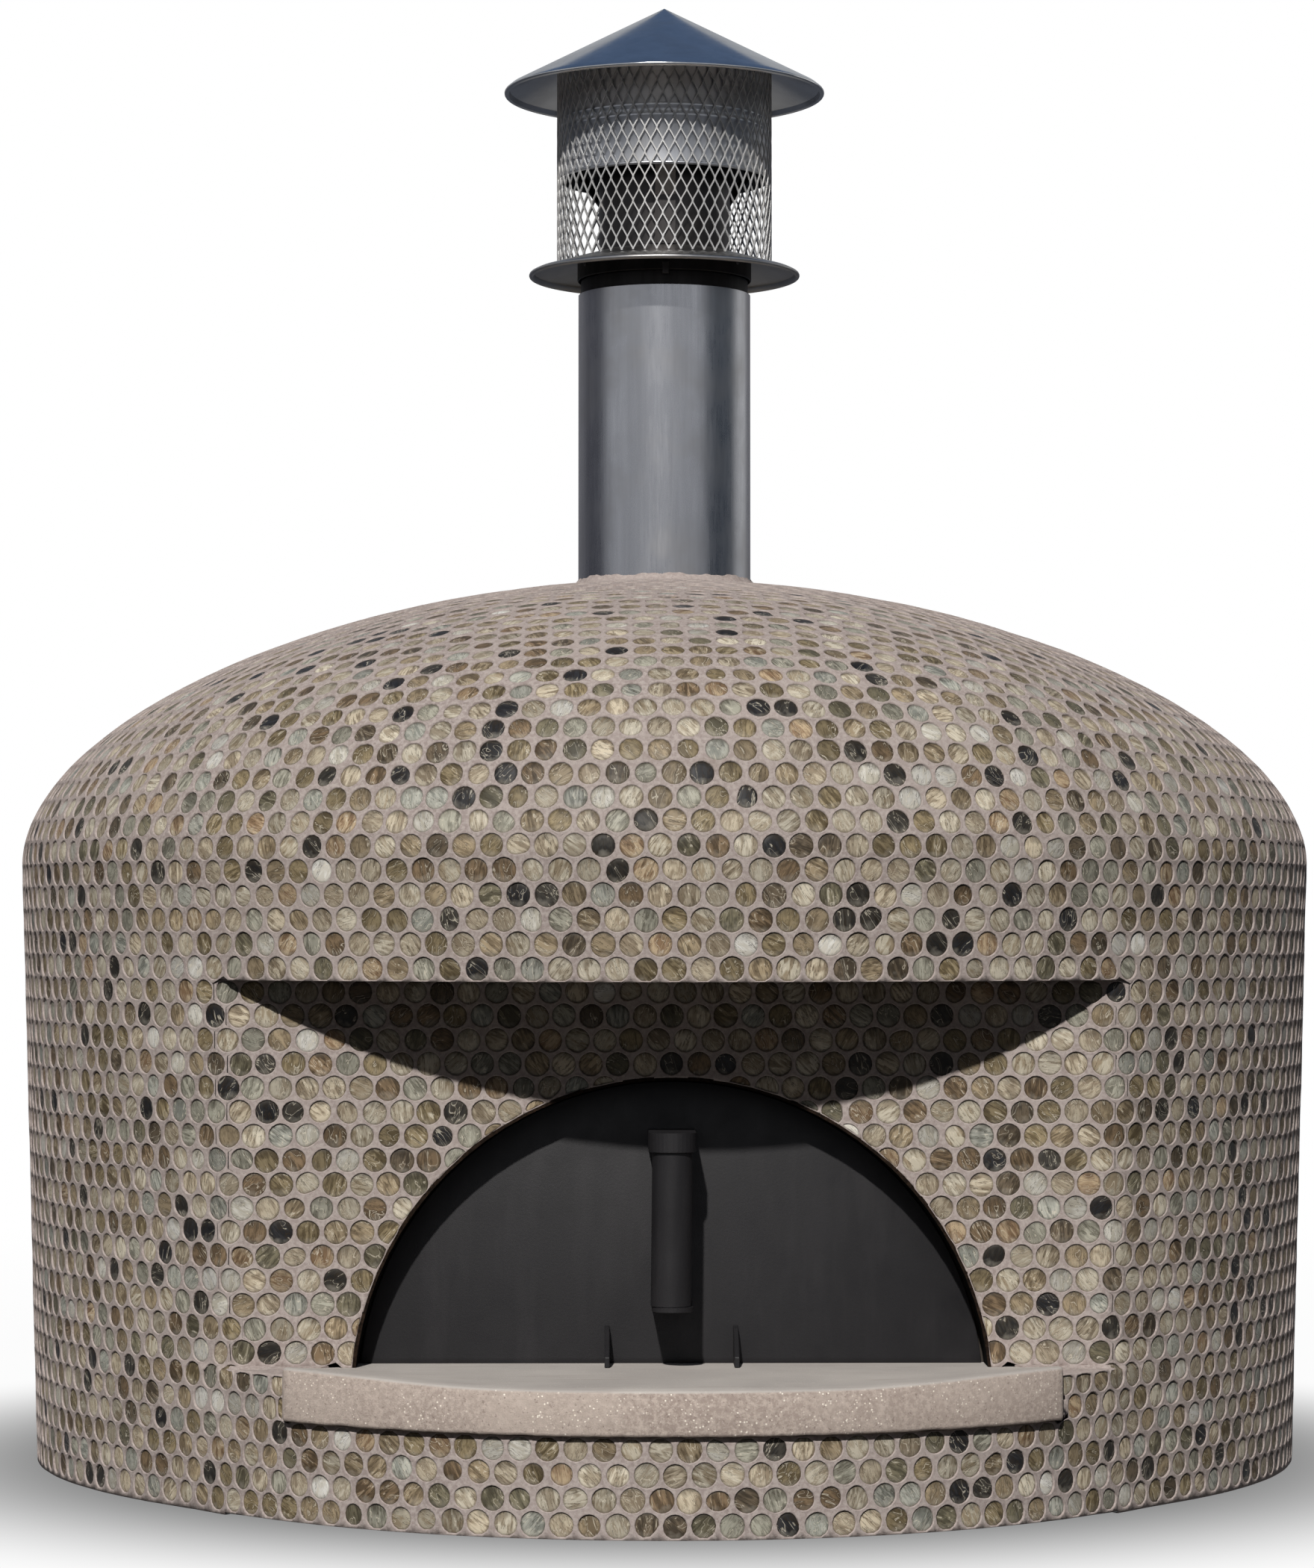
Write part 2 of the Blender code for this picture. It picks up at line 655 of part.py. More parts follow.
def make_apron(shelf_space):
    """The swelling of the base below and beside the shelf: a cast core and its mosaic."""
    core = plate("apron_core", apron_outline(APRON_CORE_HALF, APRON_INSET + MOSAIC + GAP),
                 HEARTH_Z - APRON_LOW, "render_shell")
    skin = plate("mosaic_apron",
                 apron_outline(APRON_HALF, APRON_INSET, APRON_INSET + MOSAIC),
                 HEARTH_Z - APRON_LOW, "mosaic")
    for body in (core, skin):
        body.location.z = (HEARTH_Z + APRON_LOW) / 2
        cut(body, shelf_space)


# ---------------------------------------------------------------- arch frame and door
def flange_back_y():
    """Back of the arch frame's flange, behind the front panel."""
    return FACET_Y + MOSAIC + SHELL + 2 * GAP + FRAME_THICK


def make_arch_frame():
    """A steel angle bent to the arch: it lines the reveal and clips behind the front panel."""
    front = FACET_Y + 0.0005
    back = DOOR_FRONT_Y + DOOR_THICK
    foot = HEARTH_Z + GAP
    frame = upright_plate("arch_frame", arch_outline(FRAME_RADIUS, foot), front, back,
                          "black_steel")
    flange = upright_plate("frame_flange", arch_outline(FRAME_RADIUS + FRAME_FLANGE, foot),
                           flange_back_y() - FRAME_THICK, flange_back_y(), None)
    inside = mouth_cutter("frame_inside", FRAME_RADIUS - FRAME_THICK)
    join(frame, flange)
    cut(frame, inside)


def make_door():
    """The lift-out door and all that is welded to it, on an empty at its front bottom edge."""
    slide = bpy.data.objects.new("door_slide", None)
    OVEN.objects.link(slide)
    slide.location = (0, DOOR_FRONT_Y, HEARTH_Z + GAP)

    door = upright_plate("door_plate", arch_outline(DOOR_RADIUS, HEARTH_Z + GAP),
                         DOOR_FRONT_Y, DOOR_FRONT_Y + DOOR_THICK, "black_steel")
    bevel(door, 0.0006, segments=1, angle=60)
    pieces = [door, make_handle_tube()]
    pieces += make_handle_brackets()
    pieces += [make_foot("left", -1), make_foot("right", 1)]
    bpy.context.view_layer.update()
    for piece in pieces:
        piece.parent = slide
        piece.matrix_parent_inverse = slide.matrix_world.inverted()


def make_handle_tube():
    length = HANDLE_HIGH_Z - HANDLE_LOW_Z - 4 * GAP
    handle = tube("handle_tube", HANDLE_RADIUS, HANDLE_WALL, -length / 2, length / 2,
                  "black_steel", steps=40)
    handle.location = (HANDLE_X, HANDLE_Y, (HANDLE_LOW_Z + HANDLE_HIGH_Z) / 2)
    handle.rotation_euler = (0, HANDLE_LEAN, 0)
    return handle


def make_handle_brackets():
    """Round-ended arms from the door to the tube. The top one has a turned-down skirt."""
    reach = DOOR_FRONT_Y - GAP - HANDLE_Y
    top = plate("handle_top_bracket", round_ended(TOP_BRACKET_WIDTH, reach), TOP_BRACKET_SKIRT,
                "black_steel")
    top.location = (0, DOOR_FRONT_Y - GAP, HANDLE_HIGH_Z + TOP_BRACKET_SKIRT / 2)
    bevel(top, 0.0008, segments=1)
    low = plate("handle_low_bracket", round_ended(LOW_BRACKET_WIDTH, reach), LOW_BRACKET_THICK,
                "black_steel")
    low.location = (0, DOOR_FRONT_Y - GAP, HANDLE_LOW_Z - LOW_BRACKET_THICK / 2)
    bevel(low, 0.0006, segments=1)
    return [top, low]


def make_foot(side_name, side):
    """An upright fin on the door's front that keeps it standing, narrower at its top."""
    back = DOOR_FRONT_Y - GAP
    foot_z = HEARTH_Z + GAP
    outline = [
        (back, foot_z), (back, foot_z + FOOT_HEIGHT),
        (back - FOOT_NOSE, foot_z + FOOT_HEIGHT - 0.002),
        (back - FOOT_REACH, foot_z + FOOT_TIP), (back - FOOT_REACH, foot_z),
    ]
    fin = plate(f"door_foot_{side_name}", outline, FOOT_THICK, "black_steel")
    fin.rotation_euler = (math.pi / 2, 0, math.pi / 2)
    fin.location = (side * FOOT_X, 0, 0)
    bevel(fin, 0.0005, segments=1)
    return fin


# ---------------------------------------------------------------- flue
def make_flue():
    flange_top = CROWN_FLAT_Z + GAP + SPIGOT_FLANGE_THICK
    socket = LINER_RADIUS + GAP
    throat = LINER_RADIUS - LINER_WALL
    skirt_bottom = CROWN_FLAT_Z - SPIGOT_DEPTH
    outline = [
        (socket + SOCKET_WALL, SOCKET_TOP), (socket + SOCKET_WALL, flange_top),
        (SPIGOT_FLANGE_RADIUS, flange_top), (SPIGOT_FLANGE_RADIUS, CROWN_FLAT_Z + GAP),
        (socket + SOCKET_WALL, CROWN_FLAT_Z + GAP), (socket + SOCKET_WALL, skirt_bottom),
        (throat, skirt_bottom), (throat, flange_top), (socket, flange_top), (socket, SOCKET_TOP),
    ]
    turned("flue_spigot", outline, "cast_iron", PIPE_STEPS)
    low = flange_top + GAP
    tube("flue_liner", LINER_RADIUS, LINER_WALL, low, LINER_TOP, "stainless")
    tube("flue_pipe", PIPE_RADIUS, PIPE_WALL, low, PIPE_TOP, "stainless", steps=ROUND_STEPS)
    outer = PIPE_RADIUS - PIPE_WALL - GAP
    tube("flue_insulation", outer, outer - LINER_RADIUS - GAP, SOCKET_TOP + GAP,
         LINER_TOP - FILL_STOP, "insulation")
    seal_top = dome_points(MOSAIC + GAP, PIPE_RADIUS + ROPE_SEAL, OVERHANG_Z)[0][1]
    seal_radius = PIPE_RADIUS + GAP + ROPE_SEAL
    tube("flue_rope_seal", seal_radius, ROPE_SEAL, seal_top - ROPE_SEAL_TALL, seal_top,
         "insulation", steps=ROUND_STEPS)


def make_collar():
    tube("flue_neck", NECK_RADIUS, SHEET, PIPE_TOP + GAP, NECK_TOP - GAP, "stainless",
         steps=ROUND_STEPS)
    tube("cap_collar", COLLAR_RADIUS, SHEET, NECK_TOP, COLLAR_TOP, "stainless",
         steps=ROUND_STEPS)
    for number in range(RIVET_COUNT):
        angle = math.radians(RIVET_START + 360 / RIVET_COUNT * number - 90)
        make_rivet(f"collar_rivet_{number + 1}", angle)
    clip_low = NECK_TOP - CLIP_DROP
    clip_back = -COLLAR_RADIUS - GAP
    clip = box("collar_clip", (-CLIP_WIDTH / 2, clip_back - CLIP_THICK, clip_low),
               (CLIP_WIDTH / 2, clip_back, clip_low + CLIP_HEIGHT), "stainless")
    bevel(clip, 0.0004, segments=1)


def make_rivet(name, angle):
    """A domed rivet head whose flat back faces the collar."""
    outline = [(0, 0.0013), (RIVET_RADIUS * 0.65, 0.0010), (RIVET_RADIUS, 0.0003),
               (RIVET_RADIUS, 0), (0, 0)]
    rivet = turned(name, outline, "stainless", steps=10, cyclic=False)
    reach = COLLAR_RADIUS + GAP
    rivet.location = (reach * math.cos(angle), reach * math.sin(angle), RIVET_Z)
    rivet.rotation_euler = (0, math.pi / 2, angle)
    return rivet


# ---------------------------------------------------------------- cap
def make_flange():
    """The shallow skirt under the screen, with its rim rolled downwards."""
    roll = RIM_ROLL
    inner = OUTLET_RADIUS + GAP
    rim = FLANGE_RIM_RADIUS
    rim_z = FLANGE_RIM_Z - roll
    outline = [(inner, flange_z(inner)), (rim - roll, flange_z(rim - roll))]
    for step in range(5):
        turn = math.radians(60 - 50 * step)
        outline.append((rim - roll + roll * math.cos(turn), rim_z + roll * math.sin(turn)))
    edge = rim - 2 * roll
    outline += [(edge, flange_z(edge) - SHEET), (inner, flange_z(inner) - SHEET)]
    turned("cap_flange", outline, "stainless")


def make_screen_and_band():
    screen_low = flange_z(SCREEN_RADIUS - SCREEN_WALL) + GAP
    screen_high = cone_z(SCREEN_RADIUS) - 2 * SHEET - GAP
    tube("spark_screen", SCREEN_RADIUS, SCREEN_WALL, screen_low, screen_high, "stainless",
         steps=ROUND_STEPS)
    tube("outlet_tube", OUTLET_RADIUS, SHEET, LINER_TOP + GAP, OUTLET_TOP, "stainless")

    radius = BAND_RADIUS
    low = BAND_BOTTOM
    outer = [(radius, BAND_TOP)]
    for ridge in reversed(BAND_RIDGES):
        outer += [(radius, ridge + RIDGE_HALF), (radius + RIDGE_HEIGHT, ridge),
                  (radius, ridge - RIDGE_HALF)]
    outer += [(radius, low + 2 * BEAD), (radius + BEAD, low + BEAD), (radius, low)]
    inner = [(radius - SHEET, low), (radius - SHEET, BAND_TOP)]
    turned("wind_band", outer + inner, "stainless")


def make_straps():
    """Flat straps up the outlet tube that flare out to the wind band and turn in under the cone."""
    thick = STRAP_THICK
    hug = OUTLET_RADIUS + 4 * GAP
    wide = BAND_RADIUS - SHEET - STRAP_CLEARANCE
    tip = STRAP_TIP_RADIUS
    foot_z = flange_z(hug) + 2 * GAP

    def under_cone(radius, gap):
        return cone_z(radius) - STRAP_CLEARANCE - gap

    inner = [(hug, foot_z), (hug, STRAP_BEND_Z), (wide, STRAP_FLARE_Z),
             (wide, under_cone(wide, 1.25 * thick)), (tip, under_cone(tip, thick))]
    outer = [(hug + thick, foot_z), (hug + thick, STRAP_BEND_Z - thick / 2),
             (wide + thick, STRAP_FLARE_Z - thick / 2), (wide + thick, under_cone(wide, 0)),
             (tip, under_cone(tip, 0))]
    for number in range(STRAP_COUNT):
        strap = plate(f"cap_strap_{number + 1}", inner + outer[::-1], STRAP_WIDTH, "stainless")
        angle = 2 * math.pi * number / STRAP_COUNT - math.pi / 2
        strap.rotation_euler = (math.pi / 2, 0, angle)


def make_rain_cone():
    """The conical hat, with its rim hemmed around a wire."""
    hem = RIM_ROLL
    rim = CONE_RIM_RADIUS
    rim_z = CONE_RIM_Z
    outline = [(0, CONE_APEX_Z), (rim - hem, cone_z(rim - hem))]
    for step in range(5):
        turn = math.radians(50 - 50 * step)
        outline.append((rim - hem + hem * math.cos(turn), rim_z - hem + hem * math.sin(turn)))
    edge = rim - 2 * hem
    under = 1.2 * SHEET
    outline += [(edge, cone_z(edge) - under), (0, CONE_APEX_Z - under)]
    turned("rain_cone", outline, "stainless", cyclic=False)


# ---------------------------------------------------------------- whole oven
def make_oven():
    mouth_space = mouth_cutter("mouth_space", REFRACTORY_MOUTH_OUTER + GAP)
    facet_mouth = mouth_cutter("facet_mouth", FACET_MOUTH_RADIUS, back_y=-0.405)
    panel_space = recess_cutter("panel_space", FACET_Y + MOSAIC + SHELL + 2 * GAP, 0, BEYOND)
    shelf_space = shelf_cutter()
    chamber_space = chamber_cutter()

    make_base()
    make_floor_tiles()
    make_landing_shelf()
    make_dome_segments(mouth_space, panel_space)
    make_mouth_arch(chamber_space)
    make_mouth_seal()
    make_insulation(mouth_space, panel_space, shelf_space)
    make_wall_shell(shelf_space, facet_mouth)
    make_dome_shell()
    make_mosaic(shelf_space, facet_mouth)
    make_apron(shelf_space)
    make_arch_frame()
    make_door()
    make_flue()
    make_collar()
    make_flange()
    make_screen_and_band()
    make_straps()
    make_rain_cone()


clear_scene()
OVEN = new_collection("pizza_oven")
CUTTERS = new_collection("cutters")
make_oven()
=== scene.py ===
"""Looks of the wood fired pizza oven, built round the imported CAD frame.

The drum, facet, overhang and dome are covered with single glass penny rounds set in raised
grout. The cap's screen, the door, the shelf and the flue are finer pieces that stand for
their CAD nodes. Everything else keeps its CAD node and gets a procedural material.
"""

import math

import bmesh
import bpy
import numpy as np
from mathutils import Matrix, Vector
from mathutils.kdtree import KDTree


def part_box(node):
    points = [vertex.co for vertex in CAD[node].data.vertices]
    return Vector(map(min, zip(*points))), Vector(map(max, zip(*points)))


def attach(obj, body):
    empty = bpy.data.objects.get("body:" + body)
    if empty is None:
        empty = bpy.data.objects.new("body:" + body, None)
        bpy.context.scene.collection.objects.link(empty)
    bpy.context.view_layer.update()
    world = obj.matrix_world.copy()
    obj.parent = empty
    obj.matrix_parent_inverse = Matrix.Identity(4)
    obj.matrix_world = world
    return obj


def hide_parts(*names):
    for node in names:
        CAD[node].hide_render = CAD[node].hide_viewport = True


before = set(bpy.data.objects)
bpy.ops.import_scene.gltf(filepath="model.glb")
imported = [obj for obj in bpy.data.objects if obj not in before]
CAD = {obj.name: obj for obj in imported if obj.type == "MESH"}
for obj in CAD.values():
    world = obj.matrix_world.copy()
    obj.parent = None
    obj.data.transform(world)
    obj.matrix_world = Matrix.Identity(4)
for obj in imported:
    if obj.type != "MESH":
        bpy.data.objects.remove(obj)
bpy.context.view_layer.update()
rng = np.random.default_rng(7)

# ---------------------------------------------------------------- frame values
wall_low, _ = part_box("mosaic_wall")
dome_low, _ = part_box("mosaic_dome")
facet_low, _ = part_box("mosaic_facet")
shelf_low, shelf_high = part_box("landing_shelf")
door_low, door_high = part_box("door_plate")
pipe_low, pipe_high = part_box("flue_pipe")
cone_low, cone_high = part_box("rain_cone")
apron_low, apron_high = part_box("mosaic_apron")

BASE_RADIUS, SPRING_RADIUS, SPRING_Z = 0.554, 0.5695, 0.5216
DOME_RISE, DOME_ROUND, DOME_FLAT = 0.2551, 1.158, 1.061
SWELL = 0.058                 # how far the dome's front bulges past a dome of turning
SWELL_RISE = 0.12, 0.70       # where it starts and is full, as shares of the dome's rise
SWELL_RADIUS = 0.08, 0.29
HEARTH_Z = shelf_high.z
OVERHANG_Z = dome_low.z
FACET_Y = facet_low.y
MOUTH_Z, MOUTH_RADIUS = 0.0925, 0.2555
PIPE_RADIUS = pipe_high.x
HOLE_RADIUS = PIPE_RADIUS + 0.0003
CORNER = 0.040                # the facet's upright corners are rounded by this much
SHELF_END_Y = -0.497
SHELF_BOW = SHELF_END_Y - shelf_low.y
SHELF_RADIUS = (shelf_high.x ** 2 + SHELF_BOW ** 2) / (2 * SHELF_BOW)
SHELF_CENTRE = -shelf_low.y - SHELF_RADIUS      # the front edge's centre, ahead of the axis
APRON_RADIUS = -apron_low.y - SHELF_CENTRE
LEDGE_Z = HEARTH_Z - 0.0004   # the top of the apron beside the shelf
DOOR_RADIUS = 0.2498
HANDLE_RADIUS, HANDLE_Y = 0.016, -0.460
HANDLE_LEAN = math.radians(0.6)
NECK_RADIUS, COLLAR_RADIUS = 0.0750, 0.07815
OUTLET_RADIUS = 0.059
BAND_RADIUS, SCREEN_RADIUS = 0.0935, 0.0959
SHEET = 0.001                 # thickness of the flue's and the cap's steel

# ---------------------------------------------------------------- materials


def srgb(red, green, blue):
    """A colour given in 8-bit display values, as linear light."""
    return tuple(c / 255 / 12.92 if c < 11 else ((c / 255 + 0.055) / 1.055) ** 2.4
                 for c in (red, green, blue))


def socket_name(key):
    return key.replace("_", " ").title().replace("Ior", "IOR")


class Nodes:
    """Short calls for building a node tree."""

    def __init__(self, tree):
        self.tree = tree

    def set(self, node, values):
        for key, value in values.items():
            socket = node.inputs[key]
            if isinstance(value, bpy.types.NodeSocket):
                self.tree.links.new(value, socket)
            elif socket.type == "RGBA":
                socket.default_value = (*value[:3], 1.0)
            else:
                socket.default_value = value

    def add(self, kind, values=None, **properties):
        node = self.tree.nodes.new(kind)
        for key, value in properties.items():
            setattr(node, key, value)
        self.set(node, values or {})
        return node

    def ramp(self, value, low, high, to_low=0.0, to_high=1.0, smooth=False):
        node = self.add("ShaderNodeMapRange", {
            "Value": value, "From Min": low, "From Max": high,
            "To Min": to_low, "To Max": to_high},
            interpolation_type="SMOOTHSTEP" if smooth else "LINEAR")
        return node.outputs["Result"]

    def mix(self, factor, a, b):
        return self.add("ShaderNodeMix", {0: factor, 6: a, 7: b}, data_type="RGBA").outputs[2]

    def math(self, operation, a, b=0.0):
        return self.add("ShaderNodeMath", {0: a, 1: b}, operation=operation).outputs[0]


class Surface(Nodes):
    """The node tree of one material, round its Principled shader."""

    def __init__(self, name, **principled):
        self.material = bpy.data.materials.new(name)
        self.material.use_nodes = True
        super().__init__(self.material.node_tree)
        self.shader = self.tree.nodes["Principled BSDF"]
        self.set(self.shader, {socket_name(k): v for k, v in principled.items()})
        self.place = self.add("ShaderNodeTexCoord").outputs["Object"]

    def attribute(self, name, output="Color"):
        return self.add("ShaderNodeAttribute", attribute_name=name).outputs[output]

    def stretched(self, factors, vector=None):
        node = self.add("ShaderNodeVectorMath", {0: vector or self.place, 1: factors},
                        operation="MULTIPLY")
        return node.outputs[0]

    def noise(self, scale, detail=3, rough=0.55, vector=None, distortion=0.0):
        node = self.add("ShaderNodeTexNoise", {
            "Vector": vector or self.place, "Scale": scale, "Detail": detail,
            "Roughness": rough, "Distortion": distortion})
        return node.outputs["Fac"]

    def cells(self, scale):
        node = self.add("ShaderNodeTexVoronoi", {"Vector": self.place, "Scale": scale})
        return node.outputs["Distance"]

    def height_of(self, vector):
        return self.add("ShaderNodeSeparateXYZ", {0: vector}).outputs["Z"]

    def bump(self, height, distance, strength=1.0, normal=None):
        values = {"Height": height, "Distance": distance, "Strength": strength}
        if normal is not None:
            values["Normal"] = normal
        return self.add("ShaderNodeBump", values).outputs[0]

    def tones(self, value, low, high, dark, light):
        """One display colour that turns into another as value runs from low to high."""
        return self.mix(self.ramp(value, low, high), srgb(*dark), srgb(*light))

    def stained(self, tone, value, low, high, amount, colour):
        """Tone with that much of a display colour added as value runs from low to high."""
        return self.mix(self.ramp(value, low, high, 0.0, amount), tone, srgb(*colour))

    def finish(self, **links):
        self.set(self.shader, {socket_name(k): v for k, v in links.items()})
        return self.material


def glass_material():
    """Marbled glass: each tile carries its two colours, its streaks' direction and its own up.
    Painted shade darkens each tile's top and rim, and painted light brightens its bottom.
    """
    n = Surface("marbled_glass", roughness=0.46, specular_ior_level=0.12)
    grain = n.attribute("grain", "Vector")
    streak = n.noise(1.0, 4, 0.65, n.stretched((520, 75, 1), grain), 0.5)
    broad = n.noise(1.0, 2, 0.5, n.stretched((150, 55, 1), grain), 1.0)
    blend = n.math("ADD", n.math("MULTIPLY", streak, 0.5), n.math("MULTIPLY", broad, 0.6))
    colour = n.mix(n.ramp(blend, 0.49, 0.60), n.attribute("tint"), n.attribute("vein"))
    crest = n.math("ABSOLUTE", n.math("SUBTRACT", broad, 0.58))
    colour = n.stained(colour, crest, 0.016, 0.0, 0.7, (222, 214, 196))
    trough = n.math("ABSOLUTE", n.math("SUBTRACT", streak, 0.42))
    colour = n.stained(colour, trough, 0.030, 0.004, 0.75, (56, 46, 33))
    # painted light: the tile's height makes its top darker, as painted shadow of the grout lip, and
    # its bottom paler, as if lit from above
    lift = n.attribute("lift", "Fac")
    painted_light_height = n.math("ADD", lift, n.ramp(n.noise(150, 2), 0.3, 0.7, -0.35, 0.35))
    colour = n.stained(colour, painted_light_height, 0.25, 1.05, 0.55, (50, 44, 36))
    colour = n.stained(colour, painted_light_height, -0.35, -1.05, 0.225, (214, 208, 194))
    # painted shade: each tile darker towards its edge
    colour = n.stained(colour, n.attribute("rim", "Fac"), 0.80, 1.0, 0.5, (48, 42, 36))
    return n.finish(base_color=colour, normal=n.bump(n.noise(260, 2), 0.0002, 0.4))


def grout_material():
    n = Surface("grout", roughness=0.9, specular_ior_level=0.1)
    tone = n.tones(n.noise(9), 0.35, 0.7, (154, 142, 138), (170, 158, 153))
    tone = n.stained(tone, n.noise(320), 0.40, 0.62, 1.0, (179, 168, 163))
    tone = n.stained(tone, n.noise(900, 2), 0.60, 0.72, 0.5, (112, 100, 94))
    tone = n.stained(tone, n.noise(28, 4, 0.7), 0.60, 0.78, 0.35, (128, 112, 102))
    rough = n.bump(n.noise(1100), 0.0003, 0.8, n.bump(n.noise(180, 2), 0.0006, 0.5))
    return n.finish(base_color=tone, normal=rough)


def stone_material():
    """Cast stone of the shelf: pale smooth top, pinkish aggregate on the front with pale glossy
    flecks, painted near white as painted glints as well as their own colour.
    """
    n = Surface("cast_stone", roughness=0.8)
    facing = n.height_of(n.add("ShaderNodeNewGeometry").outputs["Normal"])
    front = n.ramp(facing, 0.7, 0.35)
    smooth = n.tones(n.noise(11, 4), 0.35, 0.7, (180, 174, 169), (196, 190, 184))
    rubbed = n.noise(1.0, 4, 0.6, n.stretched((14, 160, 20)))
    smooth = n.stained(smooth, rubbed, 0.55, 0.72, 0.4, (160, 146, 138))
    rough = n.tones(n.noise(14, 4), 0.35, 0.7, (164, 149, 140), (184, 170, 160))
    rough = n.stained(rough, n.noise(240, 3, 0.7), 0.42, 0.64, 1.0, (196, 182, 172))
    rough = n.stained(rough, n.noise(430, 3, 0.6), 0.60, 0.70, 0.6, (118, 102, 94))
    tone = n.mix(front, smooth, rough)
    patchy = n.ramp(n.noise(45, 2), 0.46, 0.60)
    # pale aggregate flecks, painted near white: their own colour, and painted glints of sunlight as
    # well
    flecks = n.math("MULTIPLY", n.ramp(n.cells(300), 0.25, 0.16), patchy)
    tone = n.mix(n.math("MULTIPLY", flecks, n.ramp(front, 0, 1, 0.1, 1.0)), tone,
                 srgb(248, 240, 228))
    shine = n.ramp(flecks, 0, 1, 0.85, 0.3)
    grain = n.bump(n.noise(700, 4, 0.7), 0.0006, 0.9, n.bump(n.noise(60), 0.001, 0.5))
    return n.finish(base_color=tone, roughness=shine, normal=grain)


def mineral_material(name, dark, light, speck, scale=1.0, roughness=0.92, depth=0.0006):
    """Concrete, render, refractory or board: mottled, with fine specks and a gritty surface."""
    n = Surface(name, roughness=roughness)
    tone = n.tones(n.noise(12 * scale, 4, 0.6), 0.3, 0.7, dark, light)
    tone = n.stained(tone, n.noise(420 * scale, 3, 0.6), 0.56, 0.68, 0.6, speck)
    broad = n.bump(n.noise(45 * scale), 0.001, 0.4)
    rough = n.bump(n.noise(500 * scale, 4, 0.7), depth, 0.9, broad)
    return n.finish(base_color=tone, normal=rough)


def fibre_material(name, dark, light):
    """Ceramic blanket or rope: soft matted fibres."""
    n = Surface(name, roughness=0.98)
    wisps = n.noise(1.0, 5, 0.7, n.stretched((260, 90, 420)), 1.5)
    return n.finish(base_color=n.tones(wisps, 0.35, 0.65, dark, light),
                    normal=n.bump(wisps, 0.0015, 0.9))


def powder_coat():
    """Charcoal powder coat with its fine orange peel, dust and lighter upright smears."""
    n = Surface("powder_coat", specular_ior_level=0.25)
    tone = n.tones(n.noise(8, 4, 0.6), 0.35, 0.7, (27, 26, 28), (33, 32, 34))
    tone = n.stained(tone, n.noise(1400, 2), 0.66, 0.74, 0.3, (78, 76, 76))
    smear = n.noise(1.0, 4, 0.6, n.stretched((30, 30, 6)))
    tone = n.stained(tone, smear, 0.5, 0.75, 0.25, (58, 56, 58))
    peel = n.bump(n.noise(1500, 2), 0.0001, 0.6, n.bump(n.noise(420, 2), 0.0002, 0.35))
    shine = n.ramp(n.noise(40), 0.3, 0.7, 0.44, 0.58)
    return n.finish(base_color=tone, roughness=shine, normal=peel)


def frame_steel():
    """The arch frame: black inside the reveal, rusting along the edge that meets the grout."""
    n = Surface("frame_steel", roughness=0.9, specular_ior_level=0.05)
    forward = n.add("ShaderNodeSeparateXYZ", {0: n.place}).outputs["Y"]
    edge = n.ramp(n.math("ADD", forward, n.math("MULTIPLY", n.noise(120), 0.002)),
                  FACET_Y + 0.0010, FACET_Y + 0.0028, 1.0, 0.0)
    black = n.tones(n.noise(60), 0.4, 0.7, (7, 7, 7), (12, 12, 12))
    rust = n.tones(n.noise(300, 4, 0.7), 0.4, 0.65, (26, 20, 16), (56, 43, 34))
    return n.finish(base_color=n.mix(edge, black, rust), normal=n.bump(n.noise(500), 0.0004, 0.7))


def stainless(name, tone, roughness, brushed=(60, 60, 4), stain=0.35, tint=(150, 142, 130),
              metallic=1.0):
    """Weathered stainless steel sheet with rolling marks, water stains and fine scratches."""
    n = Surface(name, metallic=metallic)
    streaks = n.noise(1.0, 4, 0.65, n.stretched(brushed))
    fine = n.noise(1.0, 3, 0.6, n.stretched(tuple(8 * b for b in brushed)))
    cloud = n.noise(16, 4, 0.6)
    colour = n.tones(streaks, 0.38, 0.66, tone, [min(255, c + 12) for c in tone])
    colour = n.stained(colour, cloud, 0.5, 0.75, stain, tint)
    shine = n.math("ADD", n.ramp(fine, 0.3, 0.7, roughness - 0.02, roughness + 0.04),
                   n.ramp(cloud, 0.4, 0.75, 0.0, 0.10))
    return n.finish(base_color=colour, roughness=shine, normal=n.bump(fine, 0.0001, 0.12))


def floor_material():
    """A pale studio floor with a painted soft shadow under the oven. It thins out with distance,
    so that it has no far edge. Only the eye sees it pale: it throws back little light, so the
    shade stays deep, and polished pieces mirror it as a mid grey."""
    n = Surface("studio_floor", roughness=0.8)
    path = n.add("ShaderNodeLightPath").outputs
    n.finish(base_color=n.ramp(path["Is Glossy Ray"], 0, 1, 0.03, 0.28))
    away = n.add("ShaderNodeVectorMath", {0: n.stretched((1, 1, 0))}, operation="LENGTH")
    away = away.outputs["Value"]
    # painted shadow: grey next to the oven, turning pale further out
    tone = n.mix(n.ramp(away, 0.47, 0.89, smooth=True), srgb(128, 128, 128), srgb(252, 252, 252))
    seen = n.add("ShaderNodeEmission", {"Color": tone})
    blend = n.add("ShaderNodeMixShader", {0: path["Is Camera Ray"], 1: n.shader.outputs[0],
                                          2: seen.outputs[0]})
    clear = n.add("ShaderNodeBsdfTransparent")
    fade = n.add("ShaderNodeMixShader", {0: n.ramp(away, 1.2, 3.0), 1: blend.outputs[0],
                                         2: clear.outputs[0]})
    n.set(n.tree.nodes["Material Output"], {"Surface": fade.outputs[0]})
    return n.material


